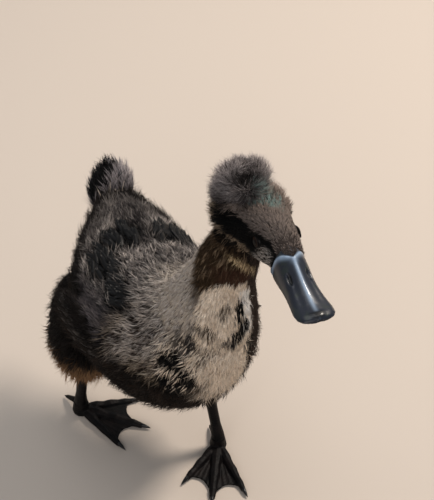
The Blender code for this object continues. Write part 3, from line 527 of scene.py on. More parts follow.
    # head
    side, ahead, up = headPlace(points)
    lay("forehead", head)
    lay("crown", head * smoothStep(0.50, 0.85, 1 - strand + fine * 0.2) * 0.7)
    lay("crown", head * smoothStep(0.012, -0.002, ahead + wobble - side * 0.4) * 0.85)
    bridge = smoothStep(0.0095, 0.0060, np.abs(side)) * smoothStep(0.010, 0.018, ahead) * 0.012
    # the band round the eye is near-black: partly the dark cheeks, partly painted shade under the brow and crown; it is
    # kept off the upward faces of the bird's left side
    mask = head * smoothStep(0.0115, 0.0095, up + wobble * 0.5 + ahead * 0.14 + bridge) \
        * (1 - smoothStep(0.002, 0.008, side) * smoothStep(0.10, 0.35, normals[:, 2]))
    lay("mask", mask)
    lay("face", mask * blob(ahead, up, (0.0215, -0.0035), (0.0068, 0.0058), wobble * 0.5) * smoothStep(0.2, 0.5, strand + fine * 0.3))
    lay("face", mask * smoothStep(-0.006, -0.010, up + wobble * 0.4) * smoothStep(0.008, 0.013, ahead) * smoothStep(0.4, 0.7, strand))
    lay("ear", mask * smoothStep(-0.0010, -0.005, up + wobble * 0.6 + ahead * 0.3) * smoothStep(0.010, 0.004, ahead + wobble)
        * smoothStep(0.45, 0.70, strand + fine * 0.2))
    lay("ear", mask * smoothStep(-0.014, -0.022, ahead + wobble) * smoothStep(0.62, 0.85, strand))
    # thighs, tail, crest
    lay("thigh", thigh * smoothStep(0.1, 0.6, strand + 0.2))
    # the thigh's top, under the belly, in the same near-black: partly painted shade
    lay("flank", thigh * smoothStep(0.086, 0.100, z + wobble * 2))
    delta = points - np.array(tailRoot)
    across, along = delta @ np.array(tailAcross), delta @ np.array(tailWay)
    lay("tail", tail * smoothStep(0.15, 0.5, strand))
    lay("tailTip", tail * smoothStep(0.018, 0.028, along) * smoothStep(0.5, 0.9, strand))
    hole = np.interp(along, (0.004, 0.010, 0.016, 0.022, 0.034), (-0.018, -0.010, -0.002, 0.003, 0.004))
    lay("black", tail * smoothStep(0.0010, -0.0010, across - hole + wobble * 0.3) * smoothStep(-0.3, 0.1, delta @ np.array(tailUpper) * 100))
    lay("crest", crest)
    # painted light: the crest's top painted paler, as if lit from above
    lay("crestPaintedLight", crest * smoothStep(0.20, 0.65, strand + fine * 0.2) * smoothStep(0.012, 0.023, up + side * 0.3))
    # painted shade: the crest's parting painted near-black, as the shade in its hollow
    lay("mask", crest * smoothStep(0.0070, 0.0030, gapTo(points, *crestHollow) + wobble) * 0.85)
    lay("teal", (head + crest) * smoothStep(0.0098, 0.0040, gapTo(points, *greenGloss) + wobble * 2)
        * smoothStep(0.20, 0.65, strand + fine * 0.4))
    # saddle: patches of new black feathers among the grey
    upper = body * smoothStep(0.35, 0.6, normals[:, 2])
    saddle = np.maximum.reduce([
        blob(x, y, (0.030, 0.051), (0.018, 0.013), wobble), blob(x, y, (-0.004, 0.058), (0.019, 0.016), wobble),
        blob(x, y, (-0.027, 0.037), (0.0100, 0.020), wobble), blob(x, y, (-0.0315, 0.002), (0.0078, 0.016), wobble)])
    lay("black", upper * saddle)
    return both


skinBoth = markingsAndPaintedLight(skinPoints, skinNormals, skinLie, skinRegion, np.full(len(skinPoints), 0.4), np.full(len(skinPoints), 0.5))
paintPoints(skin, skinBoth[:, 0] * 0.7)
print("markingsAndPaintedLight")


def coatMaterial(name, roughness, gloss, sheen):  # down and contour feathers: soft keratin, matt, with a dull sheen
    made, tree, shader = newMaterial(name)
    colour = addNode(tree, "ShaderNodeAttribute", attribute_name="coatColour")
    place = addNode(tree, "ShaderNodeTexCoord")
    grain = addNode(tree, "ShaderNodeTexNoise", {"Vector": place.outputs["Object"]}, {"Scale": 900.0, "Detail": 3.0})
    shift = addNode(tree, "ShaderNodeMapRange", {"Value": grain.outputs["Fac"]}, {"To Min": 0.72, "To Max": 1.25})
    tinted = addNode(tree, "ShaderNodeVectorMath", {0: colour.outputs["Color"]}, operation="SCALE")
    tree.links.new(shift.outputs["Result"], tinted.inputs["Scale"])
    tree.links.new(tinted.outputs["Vector"], shader.inputs["Base Color"])
    bump = addNode(tree, "ShaderNodeBump", {"Height": grain.outputs["Fac"]}, {"Strength": 0.25, "Distance": 0.0004})
    tree.links.new(bump.outputs["Normal"], shader.inputs["Normal"])
    shader.inputs["Roughness"].default_value = roughness
    shader.inputs["Specular IOR Level"].default_value = gloss
    shader.inputs["Sheen Weight"].default_value = sheen
    shader.inputs["Sheen Roughness"].default_value = 0.5
    return made


downMaterial = coatMaterial("downy feather barbs", 0.75, 0.12, 0.0)
skinMaterial = coatMaterial("skin under down", 0.85, 0.10, 0.0)
featherMaterial = coatMaterial("new contour feathers", 0.48, 0.20, 0.0)
skin.data.materials.append(skinMaterial)
shadeSmooth(skin)
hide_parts("torso", "neck", "head", "thigh_left", "thigh_right")
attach(skin, "root")

# coat: thin three-sided tufts, rooted in the skin and drawn together in clumps

quadCount = len(skin.data.polygons)
cornerFlat = np.empty(quadCount * 4, np.int32)
skin.data.polygons.foreach_get("vertices", cornerFlat)
quads = cornerFlat.reshape(-1, 4)
uvFlat = np.empty(len(skin.data.loops) * 2, np.float32)
skin.data.uv_layers["OFBake"].data.foreach_get("uv", uvFlat)
quadUv = uvFlat.reshape(-1, 4, 2)
quadPoints = skinPoints[quads]
quadArea = np.linalg.norm(np.cross(quadPoints[:, 2] - quadPoints[:, 0], quadPoints[:, 3] - quadPoints[:, 1]), axis=1) / 2
quadRegion = skinRegion[quads[:, 0]]
skinTree = BVHTree.FromPolygons([tuple(p) for p in skinPoints], quads.tolist())
eyeSpots = np.array([(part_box(name)[0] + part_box(name)[1]) / 2 for name in ("eye_right", "eye_left")])
eyeWays = np.array([headWay(side, 0.18, 0.10) for side in (-1, 1)])


def clearOfEyes(points):
    clear = np.ones(len(points), bool)
    for spot, out in zip(eyeSpots, eyeWays):
        depth = (points - spot) @ out
        beside = np.linalg.norm(points - spot - out * depth[:, None], axis=1)
        clear &= (beside > 0.0037) | (depth < 0.0)
    return clear


def scatter(perSquareMm, *regions):  # roots over the skin
    wanted = quadArea * 1e6 * perSquareMm * isRegion(quadRegion, *regions)
    number = np.floor(wanted + chance.random(quadCount)).astype(int)
    face = np.repeat(np.arange(quadCount), number)
    u = chance.random((len(face), 2))
    weights = np.stack([(1 - u[:, 0]) * (1 - u[:, 1]), u[:, 0] * (1 - u[:, 1]), u[:, 0] * u[:, 1], (1 - u[:, 0]) * u[:, 1]], 1)

    def mixed(values):
        return np.sum(values[face] * weights[:, :, None], axis=1)

    normal = unit(mixed(skinNormals[quads]))
    roots = {"point": mixed(quadPoints), "normal": normal, "lie": unit(flattened(mixed(skinLie[quads]), normal)),
             "uv": mixed(quadUv), "region": quadRegion[face]}
    clear = np.min(np.linalg.norm(roots["point"][:, None] - eyeSpots[None], axis=2), axis=1) > 0.0044
    return pick(roots, clear)


def pick(roots, mask):
    return {key: value[mask] for key, value in roots.items()}


def clumps(roots, spacing):  # the nearest of a sparse choice of roots, for each root
    n = len(roots["point"])
    area = quadArea[isRegion(quadRegion, *[regionNames[k] for k in np.unique(roots["region"])])].sum()
    count = max(1, min(n, int(area / spacing ** 2)))
    chosen = chance.choice(n, count, replace=False)
    tree = KDTree(count)
    for k, i in enumerate(chosen):
        tree.insert(roots["point"][i], k)
    tree.balance()
    return chosen[np.array([tree.find(point)[1] for point in roots["point"]])]


def growTufts(name, roots, look, slotName="down"):
    n = len(roots["point"])
    middle = clumps(roots, look["clump"])
    lone = np.linalg.norm(roots["point"] - roots["point"][middle], axis=1) > look["clump"] * 1.8
    middle = np.where(lone, np.arange(n), middle)
    value = chance.random(n)
    strand = np.clip(value[middle] * 0.7 + chance.random(n) * 0.3, 0, 1)
    grow = roots.get("grow", np.ones(n))
    raised = roots.get("raise", np.zeros(n))[:, None]
    length = look["length"] * chance.uniform(0.75, 1.2, n) * (0.85 + 0.3 * value[middle]) * grow
    width = look["width"] * chance.uniform(0.7, 1.25, n) * np.clip(grow, 0.6, 1.0)
    seen = roots["point"] + roots["lie"] * (length * 0.55)[:, None]
    both = markingsAndPaintedLight(seen, roots["normal"], roots["lie"], roots["region"], strand, value[middle] * 0.5 + chance.random(n) * 0.5)
    side = np.cross(roots["lie"], roots["normal"])
    lean = chance.normal(0, look["fan"], n)[middle][:, None]
    way = unit(roots["lie"] * np.cos(lean) + side * np.sin(lean))
    target = roots["point"][middle] + way * (look["length"] * 1.1 * grow[:, None]) - roots["point"]
    way = unit(way * (1 - look["pull"]) + unit(flattened(target, roots["normal"])) * look["pull"])
    side = unit(np.cross(way, roots["normal"]))
    curl = chance.normal(0, look["fan"] * 0.6, n)[:, None]
    lift = 1 + (value[middle][:, None] - 0.5) * 0.5 + chance.normal(0, 0.12, n)[:, None]
    here = roots["point"] - roots["normal"] * 0.0004
    rows = []
    last = 0.0
    for share in (*look["stations"], 1.0):
        step = share - last
        angle = (look["rise"] + raised + (look["settle"] - look["rise"]) * (share + last) / 2) * lift
        bearing = unit(way + side * curl * share)
        here = here + (bearing * np.cos(angle) + roots["normal"] * np.sin(angle)) * (length * step)[:, None]
        last = share
        rows.append(here.copy())
    keep = np.all([clearOfEyes(row) for row in rows], axis=0)
    rows = [row[keep] for row in rows]
    side, width, both, roots, n = side[keep], width[keep], both[keep], pick(roots, keep), int(keep.sum())
    tip = rows.pop()
    profile = np.interp(look["stations"], (0.0, 0.35, 1.0), (0.75, 1.0, 0.25))
    points = []
    for centre, share in zip(rows, profile):
        half = (width * share / 2)[:, None]
        points += [centre - side * half, centre + roots["normal"] * half * 0.75, centre + side * half]
    points.append(tip)
    count = len(points)
    pattern = []
    for k in range(len(rows) - 1):
        a = 3 * k
        for i in range(3):
            j = (i + 1) % 3
            pattern += [(a + i, a + j, a + 3 + j), (a + i, a + 3 + j, a + 3 + i)]
    a = 3 * (len(rows) - 1)
    pattern += [(a, a + 1, a + 3), (a + 1, a + 2, a + 3), (a + 2, a, a + 3), (0, 2, 1)]
    faces = (np.array(pattern)[None, :, :] + (np.arange(n) * count)[:, None, None]).reshape(-1, 3)
    share = np.concatenate([np.repeat(look["stations"], 3), [1.0]])[None, :, None]
    painted = both[:, 0][:, None, :] + (both[:, 1] - both[:, 0])[:, None, :] * share ** look["fade"]
    painted = (painted * chance.uniform(0.82, 1.18, n)[:, None, None]).reshape(-1, 3)
    patch = np.array([((i % 3 - 1) * 0.0012, (i // 3) / (count / 3) * 0.0028 - 0.0014) for i in range(count)])
    uv = np.clip(roots["uv"][:, None, :] + patch[None, :, :], 0, 1).reshape(-1, 2)
    return meshFrom(name, np.stack(points, axis=1).reshape(-1, 3), faces, painted, uv, downMaterial, slotName)


coatLook = {
    "body": {"length": 0.0095, "width": 0.0011, "clump": 0.0038, "pull": 0.55, "fan": 0.24, "rise": 0.42, "settle": -0.02,
             "stations": (0.0, 0.5), "fade": 0.8},
    "fluff": {"length": 0.0125, "width": 0.00042, "clump": 0.0050, "pull": 0.60, "fan": 0.45, "rise": 0.66, "settle": 0.05,
              "stations": (0.0, 0.5), "fade": 0.6},
    "neck": {"length": 0.0080, "width": 0.0009, "clump": 0.0028, "pull": 0.55, "fan": 0.16, "rise": 0.38, "settle": 0.0,
             "stations": (0.0, 0.5), "fade": 0.8},
    "head": {"length": 0.0046, "width": 0.00050, "clump": 0.0016, "pull": 0.40, "fan": 0.22, "rise": 0.36, "settle": 0.02,
             "stations": (0.0, 0.5), "fade": 0.8},
    "crest": {"length": 0.0112, "width": 0.00038, "clump": 0.0030, "pull": 0.42, "fan": 0.5, "rise": 0.85, "settle": 0.30,
              "stations": (0.0, 0.4, 0.75), "fade": 0.9},
}
bodyRegions = ("torso", "thigh_left", "thigh_right", "wing_left", "wing_right", "tail")


def growCoat(label, roots, look, slotName="down"):  # in pieces from front to back, each under 200,000 triangles
    order = np.argsort(roots["point"][:, 1])
    share = math.ceil(len(order) / (19500 if len(look["stations"]) == 2 else 12000))
    return [growTufts(f"{label}{k}", pick(roots, part), look, slotName) for k, part in enumerate(np.array_split(order, share))]


rootsBody = scatter(0.84, *bodyRegions)


def breeches(points):  # the long loose down at the back of the thighs and under the tail
    x, y, z = points.T
    return smoothStep(0.020, 0.040, y) * smoothStep(0.130, 0.105, z)


tailSide = (rootsBody["point"] - np.array(tailRoot)) @ np.array(tailAcross)
rootsBody["grow"] = 1 + (0.40 + 0.55 * smoothStep(0.0, 0.012, tailSide)) * isRegion(rootsBody["region"], "tail") \
    + 0.6 * breeches(rootsBody["point"])
rootsBody["raise"] = 0.20 * breeches(rootsBody["point"])
growCoat("coatBody", rootsBody, coatLook["body"])
rootsNeck = scatter(1.9, "neck")
headGap = np.array([nearby["head"].find_nearest(Vector(point))[3] for point in rootsNeck["point"]])
rootsNeck["grow"] = 0.50 + 0.50 * smoothStep(0.002, 0.016, headGap)
growCoat("coatNeck", rootsNeck, coatLook["neck"])
rootsHead = scatter(4.2, "head")
side, ahead, up = headPlace(rootsHead["point"])
eyeGap = np.min(np.linalg.norm(rootsHead["point"][:, None] - eyeSpots[None], axis=2), axis=1)
billGap = np.linalg.norm(rootsHead["point"] - rootOfBill, axis=1)
poll = smoothStep(0.003, -0.010, ahead) * smoothStep(-0.006, 0.004, up)
rootsHead["grow"] = (0.40 + 0.60 * smoothStep(0.0045, 0.0120, eyeGap)) * (0.45 + 0.55 * smoothStep(0.010, 0.024, billGap)) \
    * (1 + 1.3 * poll)
rootsHead["raise"] = 0.5 * poll
growCoat("coatHead", rootsHead, coatLook["head"])
rootsFluff = scatter(0.37, *bodyRegions, "neck")
fluffBoth = markingsAndPaintedLight(rootsFluff["point"] + rootsFluff["lie"] * 0.006, rootsFluff["normal"], rootsFluff["lie"], rootsFluff["region"],
                     np.full(len(rootsFluff["point"]), 0.7), np.full(len(rootsFluff["point"]), 0.5))
rootsFluff = pick(rootsFluff, fluffBoth[:, 1].max(axis=1) > 0.004)  # none over the glossy black
rootsFluff["grow"] = 1 + 0.5 * breeches(rootsFluff["point"]) - 0.4 * isRegion(rootsFluff["region"], "neck")
growCoat("fluff", rootsFluff, coatLook["fluff"])

# crest: a loose puff, swirling and parted at its front

rootsCrest = scatter(9.8, "crest")
spot = rootsCrest["point"]
swirl = np.stack([softNoise(spot, 0.009, 31 + k) for k in range(3)], axis=1)
reach = np.clip((spot - crestHollow[0]) @ (crestHollow[1] - crestHollow[0]) / np.sum((crestHollow[1] - crestHollow[0]) ** 2), 0, 1)
away = spot - crestHollow[0] - (crestHollow[1] - crestHollow[0]) * reach[:, None]
parting = unit(away) * smoothStep(0.007, 0.002, np.linalg.norm(away, axis=1))[:, None]
rootsCrest["normal"] = unit(unit(spot - crestMiddle) + swirl * 0.45 + chance.normal(0, 0.16, spot.shape))
rootsCrest["lie"] = unit(flattened(np.array(headWay(0, -0.5, 1.0)) * 1.1 + swirl * 1.6 + parting * 0.4
                                   + chance.normal(0, 0.50, spot.shape), rootsCrest["normal"]))
rootsCrest["grow"] = 1 + 0.25 * softNoise(spot, 0.007, 37)
for piece in growCoat("crestPuff", rootsCrest, coatLook["crest"], "crest_down"):
    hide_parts("crest")

# feathers: curved leaf-shaped plates for the saddle, the wings and the tail

leafLook = {"rows": 6, "across": 2, "thick": 0.00018}


def growLeaves(name, leaves, slotName):  # each leaf: its middle line, the way up at each point, width, colours
    rows, across = leafLook["rows"], leafLook["across"]
    points, colours, uv, faces = [], [], [], []
    share = np.linspace(0, 1, rows)
    outline = np.sin(np.pi * np.clip(share * 0.86 + 0.10, 0, 1)) ** 0.55
    outline[-1] *= 0.35
    span = np.linspace(-1, 1, across + 1)
    for line, ups, width, both, root in leaves:
        start = len(points) * 2 * rows * (across + 1)
        way = unit(np.gradient(line, axis=0))
        side = unit(np.cross(way, ups))
        upper = unit(np.cross(side, way))
        grid = line[:, None, :] + side[:, None, :] * (span[None, :, None] * (outline * width / 2)[:, None, None])
        droop = -(span ** 2)[None, :, None] * (outline * width * 0.16)[:, None, None]
        keel = np.exp(-(span / 0.15) ** 2)[None, :, None] * 0.00015
        top = grid + upper[:, None, :] * (droop + keel)
        below = top - upper[:, None, :] * leafLook["thick"] * (1 - 0.8 * np.abs(span))[None, :, None]
        points.append(np.concatenate([top.reshape(-1, 3), below.reshape(-1, 3)]))
        mix = np.clip(share[:, None] * 0.7 + np.abs(span)[None, :] * 0.15 + chance.normal(0, 0.05, (rows, across + 1)), 0, 1)
        shade = both[0] + (both[1] - both[0]) * mix[:, :, None]
        colours.append(np.concatenate([shade.reshape(-1, 3)] * 2))
        patch = np.stack([np.broadcast_to(span[None, :] * 0.0014, (rows, across + 1)),
                          np.broadcast_to(share[:, None] * 0.0028 - 0.0014, (rows, across + 1))], axis=2).reshape(-1, 2)
        uv.append(np.clip(np.concatenate([patch] * 2) + root, 0, 1))
        below0 = rows * (across + 1)
        for i in range(rows - 1):
            for j in range(across):
                a, b = start + i * (across + 1) + j, start + i * (across + 1) + j + 1
                c, d = b + across + 1, a + across + 1
                faces += [(a, b, c), (a, c, d), (b + below0, a + below0, d + below0), (b + below0, d + below0, c + below0)]
            for j, turn in ((0, 1), (across, -1)):
                a = start + i * (across + 1) + j
                d = a + across + 1
                quad = (a, d, d + below0, a + below0)[::turn]
                faces += [(quad[0], quad[1], quad[2]), (quad[0], quad[2], quad[3])]
        for j in range(across):
            for i, turn in ((0, -1), (rows - 1, 1)):
                a = start + i * (across + 1) + j
                quad = (a, a + 1, a + 1 + below0, a + below0)[::-turn]
                faces += [(quad[0], quad[1], quad[2]), (quad[0], quad[2], quad[3])]
    return meshFrom(name, np.concatenate(points), np.array(faces), np.concatenate(colours), np.concatenate(uv),
                    featherMaterial, slotName)


skinKd = KDTree(len(skinPoints))
for i, point in enumerate(skinPoints):
    skinKd.insert(point, i)
skinKd.balance()
uvAt = np.zeros((len(skinPoints), 2))
uvAt[quads.ravel()] = quadUv.reshape(-1, 2)


def leafOnSkin(point, way, length, width, low, high, both):  # walks over the skin in small steps
    line, ups = [], []
    here = Vector(point)
    way = Vector(way)
    for k in range(leafLook["rows"]):
        spot, normal, _, _ = skinTree.find_nearest(here)
        if k == 0:
            last = normal
        normal = (normal * 0.5 + last * 0.5).normalized()
        last = normal
        share = k / (leafLook["rows"] - 1)
        line.append(spot + normal * (low + (high - low) * share))
        ups.append(normal)
        way = (way - normal * way.dot(normal)).normalized()
        here = spot + way * length / (leafLook["rows"] - 1)
    root = uvAt[skinKd.find(point)[1]]
    return np.array(line), np.array(ups), width, both, root


saddleSpots = scatter(0.065, "torso")
saddleBoth = markingsAndPaintedLight(saddleSpots["point"], saddleSpots["normal"], saddleSpots["lie"], saddleSpots["region"],
                      np.full(len(saddleSpots["point"]), 0.9), np.full(len(saddleSpots["point"]), 0.5))
darkSpot = (saddleBoth[:, 1].max(axis=1) < 0.005) & (saddleSpots["normal"][:, 2] > 0.3)
saddleSpots = pick(saddleSpots, darkSpot)
leaves = []
for point, way, normal in zip(saddleSpots["point"], saddleSpots["lie"], saddleSpots["normal"]):
    way = way + np.cross(way, normal) * chance.normal(0, 0.28)
    leaves.append(leafOnSkin(point - way * 0.006, way, chance.uniform(0.011, 0.018), chance.uniform(0.0034, 0.0054), 0.0014,
                             chance.uniform(0.0034, 0.0050), tone["black"] * chance.uniform(0.8, 2.2)))
growLeaves("saddleFeathers", leaves, "feather")

wingLook = {
    # feathers in the row, root y and z of the first and last, length, width, fall of the first and last, lift
    "rows": ((8, -0.008, 0.136, 0.044, 0.149, 0.0290, 0.0095, -0.42, -0.10, 0.0010),
             (8, -0.014, 0.146, 0.040, 0.158, 0.0230, 0.0090, -0.38, -0.08, 0.0015),
             (7, -0.016, 0.156, 0.034, 0.166, 0.0180, 0.0085, -0.34, -0.06, 0.0019)),
    "colour": ("#0b0909", "#1c1716"),
}
for name, side in (("wing_left", 1), ("wing_right", -1)):
    leaves = []
    both = np.stack([linear(wingLook["colour"][0]), linear(wingLook["colour"][1])])
    for count, y0, z0, y1, z1, length, width, fall0, fall1, lift in wingLook["rows"]:
        for i in range(count):
            t = i / (count - 1)
            start = Vector((side * 0.075, y0 + (y1 - y0) * t, z0 + (z1 - z0) * t))
            hit = skinTree.ray_cast(start, Vector((-side, 0, 0)))[0]
            way = Vector((0, 1, fall0 + (fall1 - fall0) * t)).normalized()
            leaves.append(leafOnSkin(hit, way, length, width, lift, lift + 0.0012, both * chance.uniform(0.8, 1.4)))
    piece = growLeaves(name.replace("_", "") + "Feathers", leaves, "feather")
    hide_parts(name)

tailLook = {"vanes": 9, "width": 0.0078, "spread": 0.0085, "colour": ("#050404", "#130f0e")}
leaves = []
both = np.stack([linear(tailLook["colour"][0]), linear(tailLook["colour"][1])])
acrossTail, alongTail, upTail = np.array(tailAcross), np.array(tailWay), np.array(tailUpper)
for tier, (startAt, lift, fullLength) in enumerate(((0.006, -0.0015, 0.032), (0.004, 0.0030, 0.022))):
    for i in range(tailLook["vanes"]):
        t = (i / (tailLook["vanes"] - 1)) * 2 - 1
        length = fullLength * (1 - 0.22 * t * t) * chance.uniform(0.90, 1.04)
        way = unit(alongTail + acrossTail * t * 0.06)
        share = np.linspace(0, 1, leafLook["rows"])[:, None]
        base = np.array(tailRoot) + alongTail * startAt + acrossTail * tailLook["spread"] * t * (1.0 + 0.25 * tier) \
            + upTail * (lift - 0.004 * t * t - 0.0003 * (i % 2))
        line = base + way * share * length * (1 - 0.1 * t * t) - upTail * 0.002 * share ** 2
        up = unit(upTail + acrossTail * t * 0.5)
        leaves.append((line, np.repeat(up[None], leafLook["rows"], 0), tailLook["width"], both * chance.uniform(0.8, 1.3),
                       uvAt[skinKd.find(base)[1]]))
tailPiece = growLeaves("tailFeathers", leaves, "feather")
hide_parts("tail")

# bill: smooth slate-black horn, its base lobes paler and a highlight painted along its keel

billLook = {
    "length": 0.0480, "width": 0.0245, "height": 0.0190, "pitch": -1.0, "stations": 130, "around": 72,
    # share of the length, half width, height
    "rows": ((-0.14, 0.430, 1.02), (0.00, 0.445, 0.99), (0.12, 0.440, 0.90), (0.26, 0.425, 0.75), (0.42, 0.430, 0.57),
             (0.60, 0.465, 0.41), (0.76, 0.500, 0.30), (0.88, 0.480, 0.235), (0.95, 0.390, 0.19), (0.985, 0.260, 0.15),
             (0.999, 0.110, 0.12)),
}
# the horn's colours; the lobes' pale also paints the highlight along the keel
horn = {name: linear(code) for name, code in {
    "slate": "#1d212b", "pale": "#90a3b9", "green": "#252c2a", "rim": "#32312f", "nail": "#0b0c0f", "hole": "#010102"}.items()}


def makeBill():
    turn = Matrix.Rotation(math.radians(billLook["pitch"]), 3, Vector((-1, 0, 0)))
    basis = np.array(headTurn @ turn)
    origin = np.array(onHead(*bird["billRoot"]))
    body = np.linspace(-0.14, 0.86, billLook["stations"] - 26)
    end = 0.86 + 0.1395 * np.sin(np.linspace(0, math.pi / 2, 27))[1:]
    share = np.concatenate([body, end])
    rows = np.array(billLook["rows"])
    samples = np.linspace(-0.14, 0.999, 400)
    kernel = np.hanning(25) / np.hanning(25).sum()
    def smoothRow(column):
        values = np.interp(samples, rows[:, 0], rows[:, column])
        padded = np.concatenate([np.full(12, values[0]), values, np.linspace(values[-1], values[-1], 12)])
        return np.interp(share, samples, np.convolve(padded, kernel, "valid"))
    half = smoothRow(1) * billLook["width"]
    half = np.minimum(half, np.interp(share, rows[:, 0], rows[:, 1]) * billLook["width"] * 1.01)
    high = smoothRow(2) * billLook["height"]
    edge = -0.0012 * np.sin(np.pi * np.clip(share, 0, 1)) + 0.0008 * share
    angle = np.linspace(0, np.pi, billLook["around"] + 1)
    c, s = np.cos(angle)[None, :], np.sin(angle)[None, :]
    grow = share[:, None]
    arch = np.clip(s, 0, 1) ** (0.85 + 0.25 * np.clip(grow, 0, 1))
    z = edge[:, None] + high[:, None] * arch
    x = half[:, None] * c
    keel = np.interp(grow, (-0.14, 0.15, 0.55, 0.8), (0.0006, 0.0009, 0.0005, 0.0))
    z = z + keel * np.exp(-(c / 0.16) ** 2)
    z = z - np.interp(grow, (0.0, 0.3, 0.7, 0.9), (0.0, 0.0008, 0.0006, 0.0)) * np.exp(-((np.abs(c) - 0.50) / 0.20) ** 2)
    peak = np.clip(0.55 * (1 - grow / 0.12), 0, 1)  # half width of the point of feathers between the lobes
    lobe = np.exp(-((np.abs(c) - peak - 0.10) / 0.15) ** 2) * smoothStep(0.20, 0.06, grow)
    z = z + 0.0011 * lobe
    rim = np.exp(-((s - 0.10) / 0.07) ** 2)
    x = x * (1 + 0.025 * rim * np.clip(grow * 3, 0, 1))
    nail = np.exp(-((grow - 0.935) / 0.055) ** 4) * np.exp(-(c / 0.42) ** 4)
    z = z + 0.0007 * nail
    reach = np.hypot((grow - 0.30) * billLook["length"] / 0.0040, (np.abs(np.abs(angle - np.pi / 2)[None, :] - 0.66)) / 0.145)
    hole = smoothStep(1.15, 0.55, reach)
    x = x - np.sign(c) * 0.0012 * hole
    z = z - 0.0014 * hole
    lip = np.exp(-((reach - 1.25) / 0.25) ** 2)
    z = z + 0.00010 * lip
    y = np.broadcast_to(grow * billLook["length"], z.shape)
    local = np.stack([x, -y, z], axis=2)
    inner = []
    for k in (-0.7, 0.0, 0.7):
        inner.append(np.stack([half * k, -share * billLook["length"], edge + 0.10 * high * (1 - abs(k) * 0.6)], axis=1)[:, None, :])
    local = np.concatenate([local, *inner], axis=1)
    ring = local.shape[1]
    flat = local.reshape(-1, 3)
    tip = np.array([0, -billLook["length"] * 1.003, edge[-1] + 0.0010])
    back = np.array([0, 0.14 * billLook["length"], 0.006])
    points = np.concatenate([flat, tip[None], back[None]]) @ basis.T + origin
    faces = []
    for i in range(len(share) - 1):
        for j in range(ring):
            a, b = i * ring + j, i * ring + (j + 1) % ring
            faces += [(a, a + ring, b), (b, a + ring, b + ring)]
    last = (len(share) - 1) * ring
    for j in range(ring):
        faces += [(last + j, len(flat), last + (j + 1) % ring), (j, (j + 1) % ring, len(flat) + 1)]
    grain = softNoise(points, 0.0030, 21)[:-2].reshape(len(share), ring)
    speck = softNoise(points, 0.0009, 22)[:-2].reshape(len(share), ring)
    colour = np.tile(horn["slate"], (len(share), ring, 1))

    def lay(name, weight):
        wide = np.zeros((len(share), ring))
        wide[:, :billLook["around"] + 1] = weight
        colour[:] = colour + (horn[name] - colour) * np.clip(wide, 0, 1)[:, :, None]

    n = billLook["around"] + 1
    lay("green", smoothStep(0.1, 0.6, grain[:, :n] + speck[:, :n] * 0.4) * smoothStep(0.25, 0.6, np.abs(c)) * 0.8)
    lay("pale", lobe * 1.0 * (0.8 + 0.3 * grain[:, :n]))
    # painted highlight: a pale line along the keel, strongest at the base, fading towards the tip
    lay("pale", np.exp(-(c / 0.11) ** 2) * np.interp(grow, (0.0, 0.1, 0.7, 0.95), (1.0, 1.0, 0.8, 0.1)))
    lay("rim", rim * smoothStep(0.25, 0.6, grow) * 0.8)
    lay("nail", nail)
    # painted shade: the nostril's pit painted near-black
    lay("hole", smoothStep(0.9, 0.5, reach))
    colours = np.concatenate([colour.reshape(-1, 3), horn["nail"][None], horn["slate"][None]])
    return points, np.array(faces), colours


billMaterial, billTree, billShader = newMaterial("bill horn")  # moulded keratin, satin; the keel's wet-looking highlight is painted into its colour
billColour = addNode(billTree, "ShaderNodeAttribute", attribute_name="coatColour")
billPlace = addNode(billTree, "ShaderNodeTexCoord")
billGrain = addNode(billTree, "ShaderNodeTexNoise", {"Vector": billPlace.outputs["Object"]}, {"Scale": 420.0, "Detail": 5.0})
billTree.links.new(billColour.outputs["Color"], billShader.inputs["Base Color"])
billBump = addNode(billTree, "ShaderNodeBump", {"Height": billGrain.outputs["Fac"]}, {"Strength": 0.18, "Distance": 0.0004})
billTree.links.new(billBump.outputs["Normal"], billShader.inputs["Normal"])
billShader.inputs["Roughness"].default_value = 0.34
billShader.inputs["Specular IOR Level"].default_value = 0.28
billShader.inputs["Coat Weight"].default_value = 0.22
billShader.inputs["Coat Roughness"].default_value = 0.12
billUpper = meshFrom("billUpper", *makeBill(), None, billMaterial, "bill")
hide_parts("bill_upper")

# the point of short feathers that runs down between the bill's lobes

billSurface = BVHTree.FromPolygons([v.co for v in billUpper.data.vertices], [p.vertices for p in billUpper.data.polygons])
spots = []
for _ in range(700):
    ahead = chance.uniform(-0.10, 0.11)
    beside = chance.uniform(-1, 1) * min(0.40, 0.46 * (1 - ahead / 0.12)) * billLook["width"] * 0.44
    start = onHead(beside, bird["billRoot"][1] + ahead * billLook["length"], 0.030)
    hit, normal, _, _ = billSurface.ray_cast(start, headWay(0, 0, -1))
    if hit is not None:
        spots.append((hit, normal))
pointNormals = np.array([normal for _, normal in spots])
rootsPoint = {"point": np.array([hit for hit, _ in spots]), "normal": pointNormals,
              "lie": unit(flattened(np.tile(np.array(headWay(0, -1, 0.2)), (len(spots), 1)), pointNormals)),
              "uv": np.array([uvAt[skinKd.find(hit)[1]] for hit, _ in spots]),
              "region": np.full(len(spots), regionNames.index("head")), "grow": np.full(len(spots), 0.55)}
growTufts("coatBillPoint", rootsPoint, coatLook["head"])


def smoothCopy(node, newName, voxel, rounds, material):  # a finer, rounder form of a CAD node, in its place
    made = nodeCopy(node, newName)
    finishWith(made, "REMESH", mode="VOXEL", voxel_size=voxel, adaptivity=0.0)
    finishWith(made, "SMOOTH", factor=0.5, iterations=rounds)
    shadeSmooth(made)
    made.data.materials.append(material)
    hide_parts(node)
    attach(made, "root")
    return made


billLower = smoothCopy("bill_lower", "billLower", 0.0004, 4, billMaterial)
paintPoints(billLower, np.tile(horn["slate"], (len(billLower.data.vertices), 1)))

# eyes: dark brown iris round a black pupil, wet, set in thin bare lids

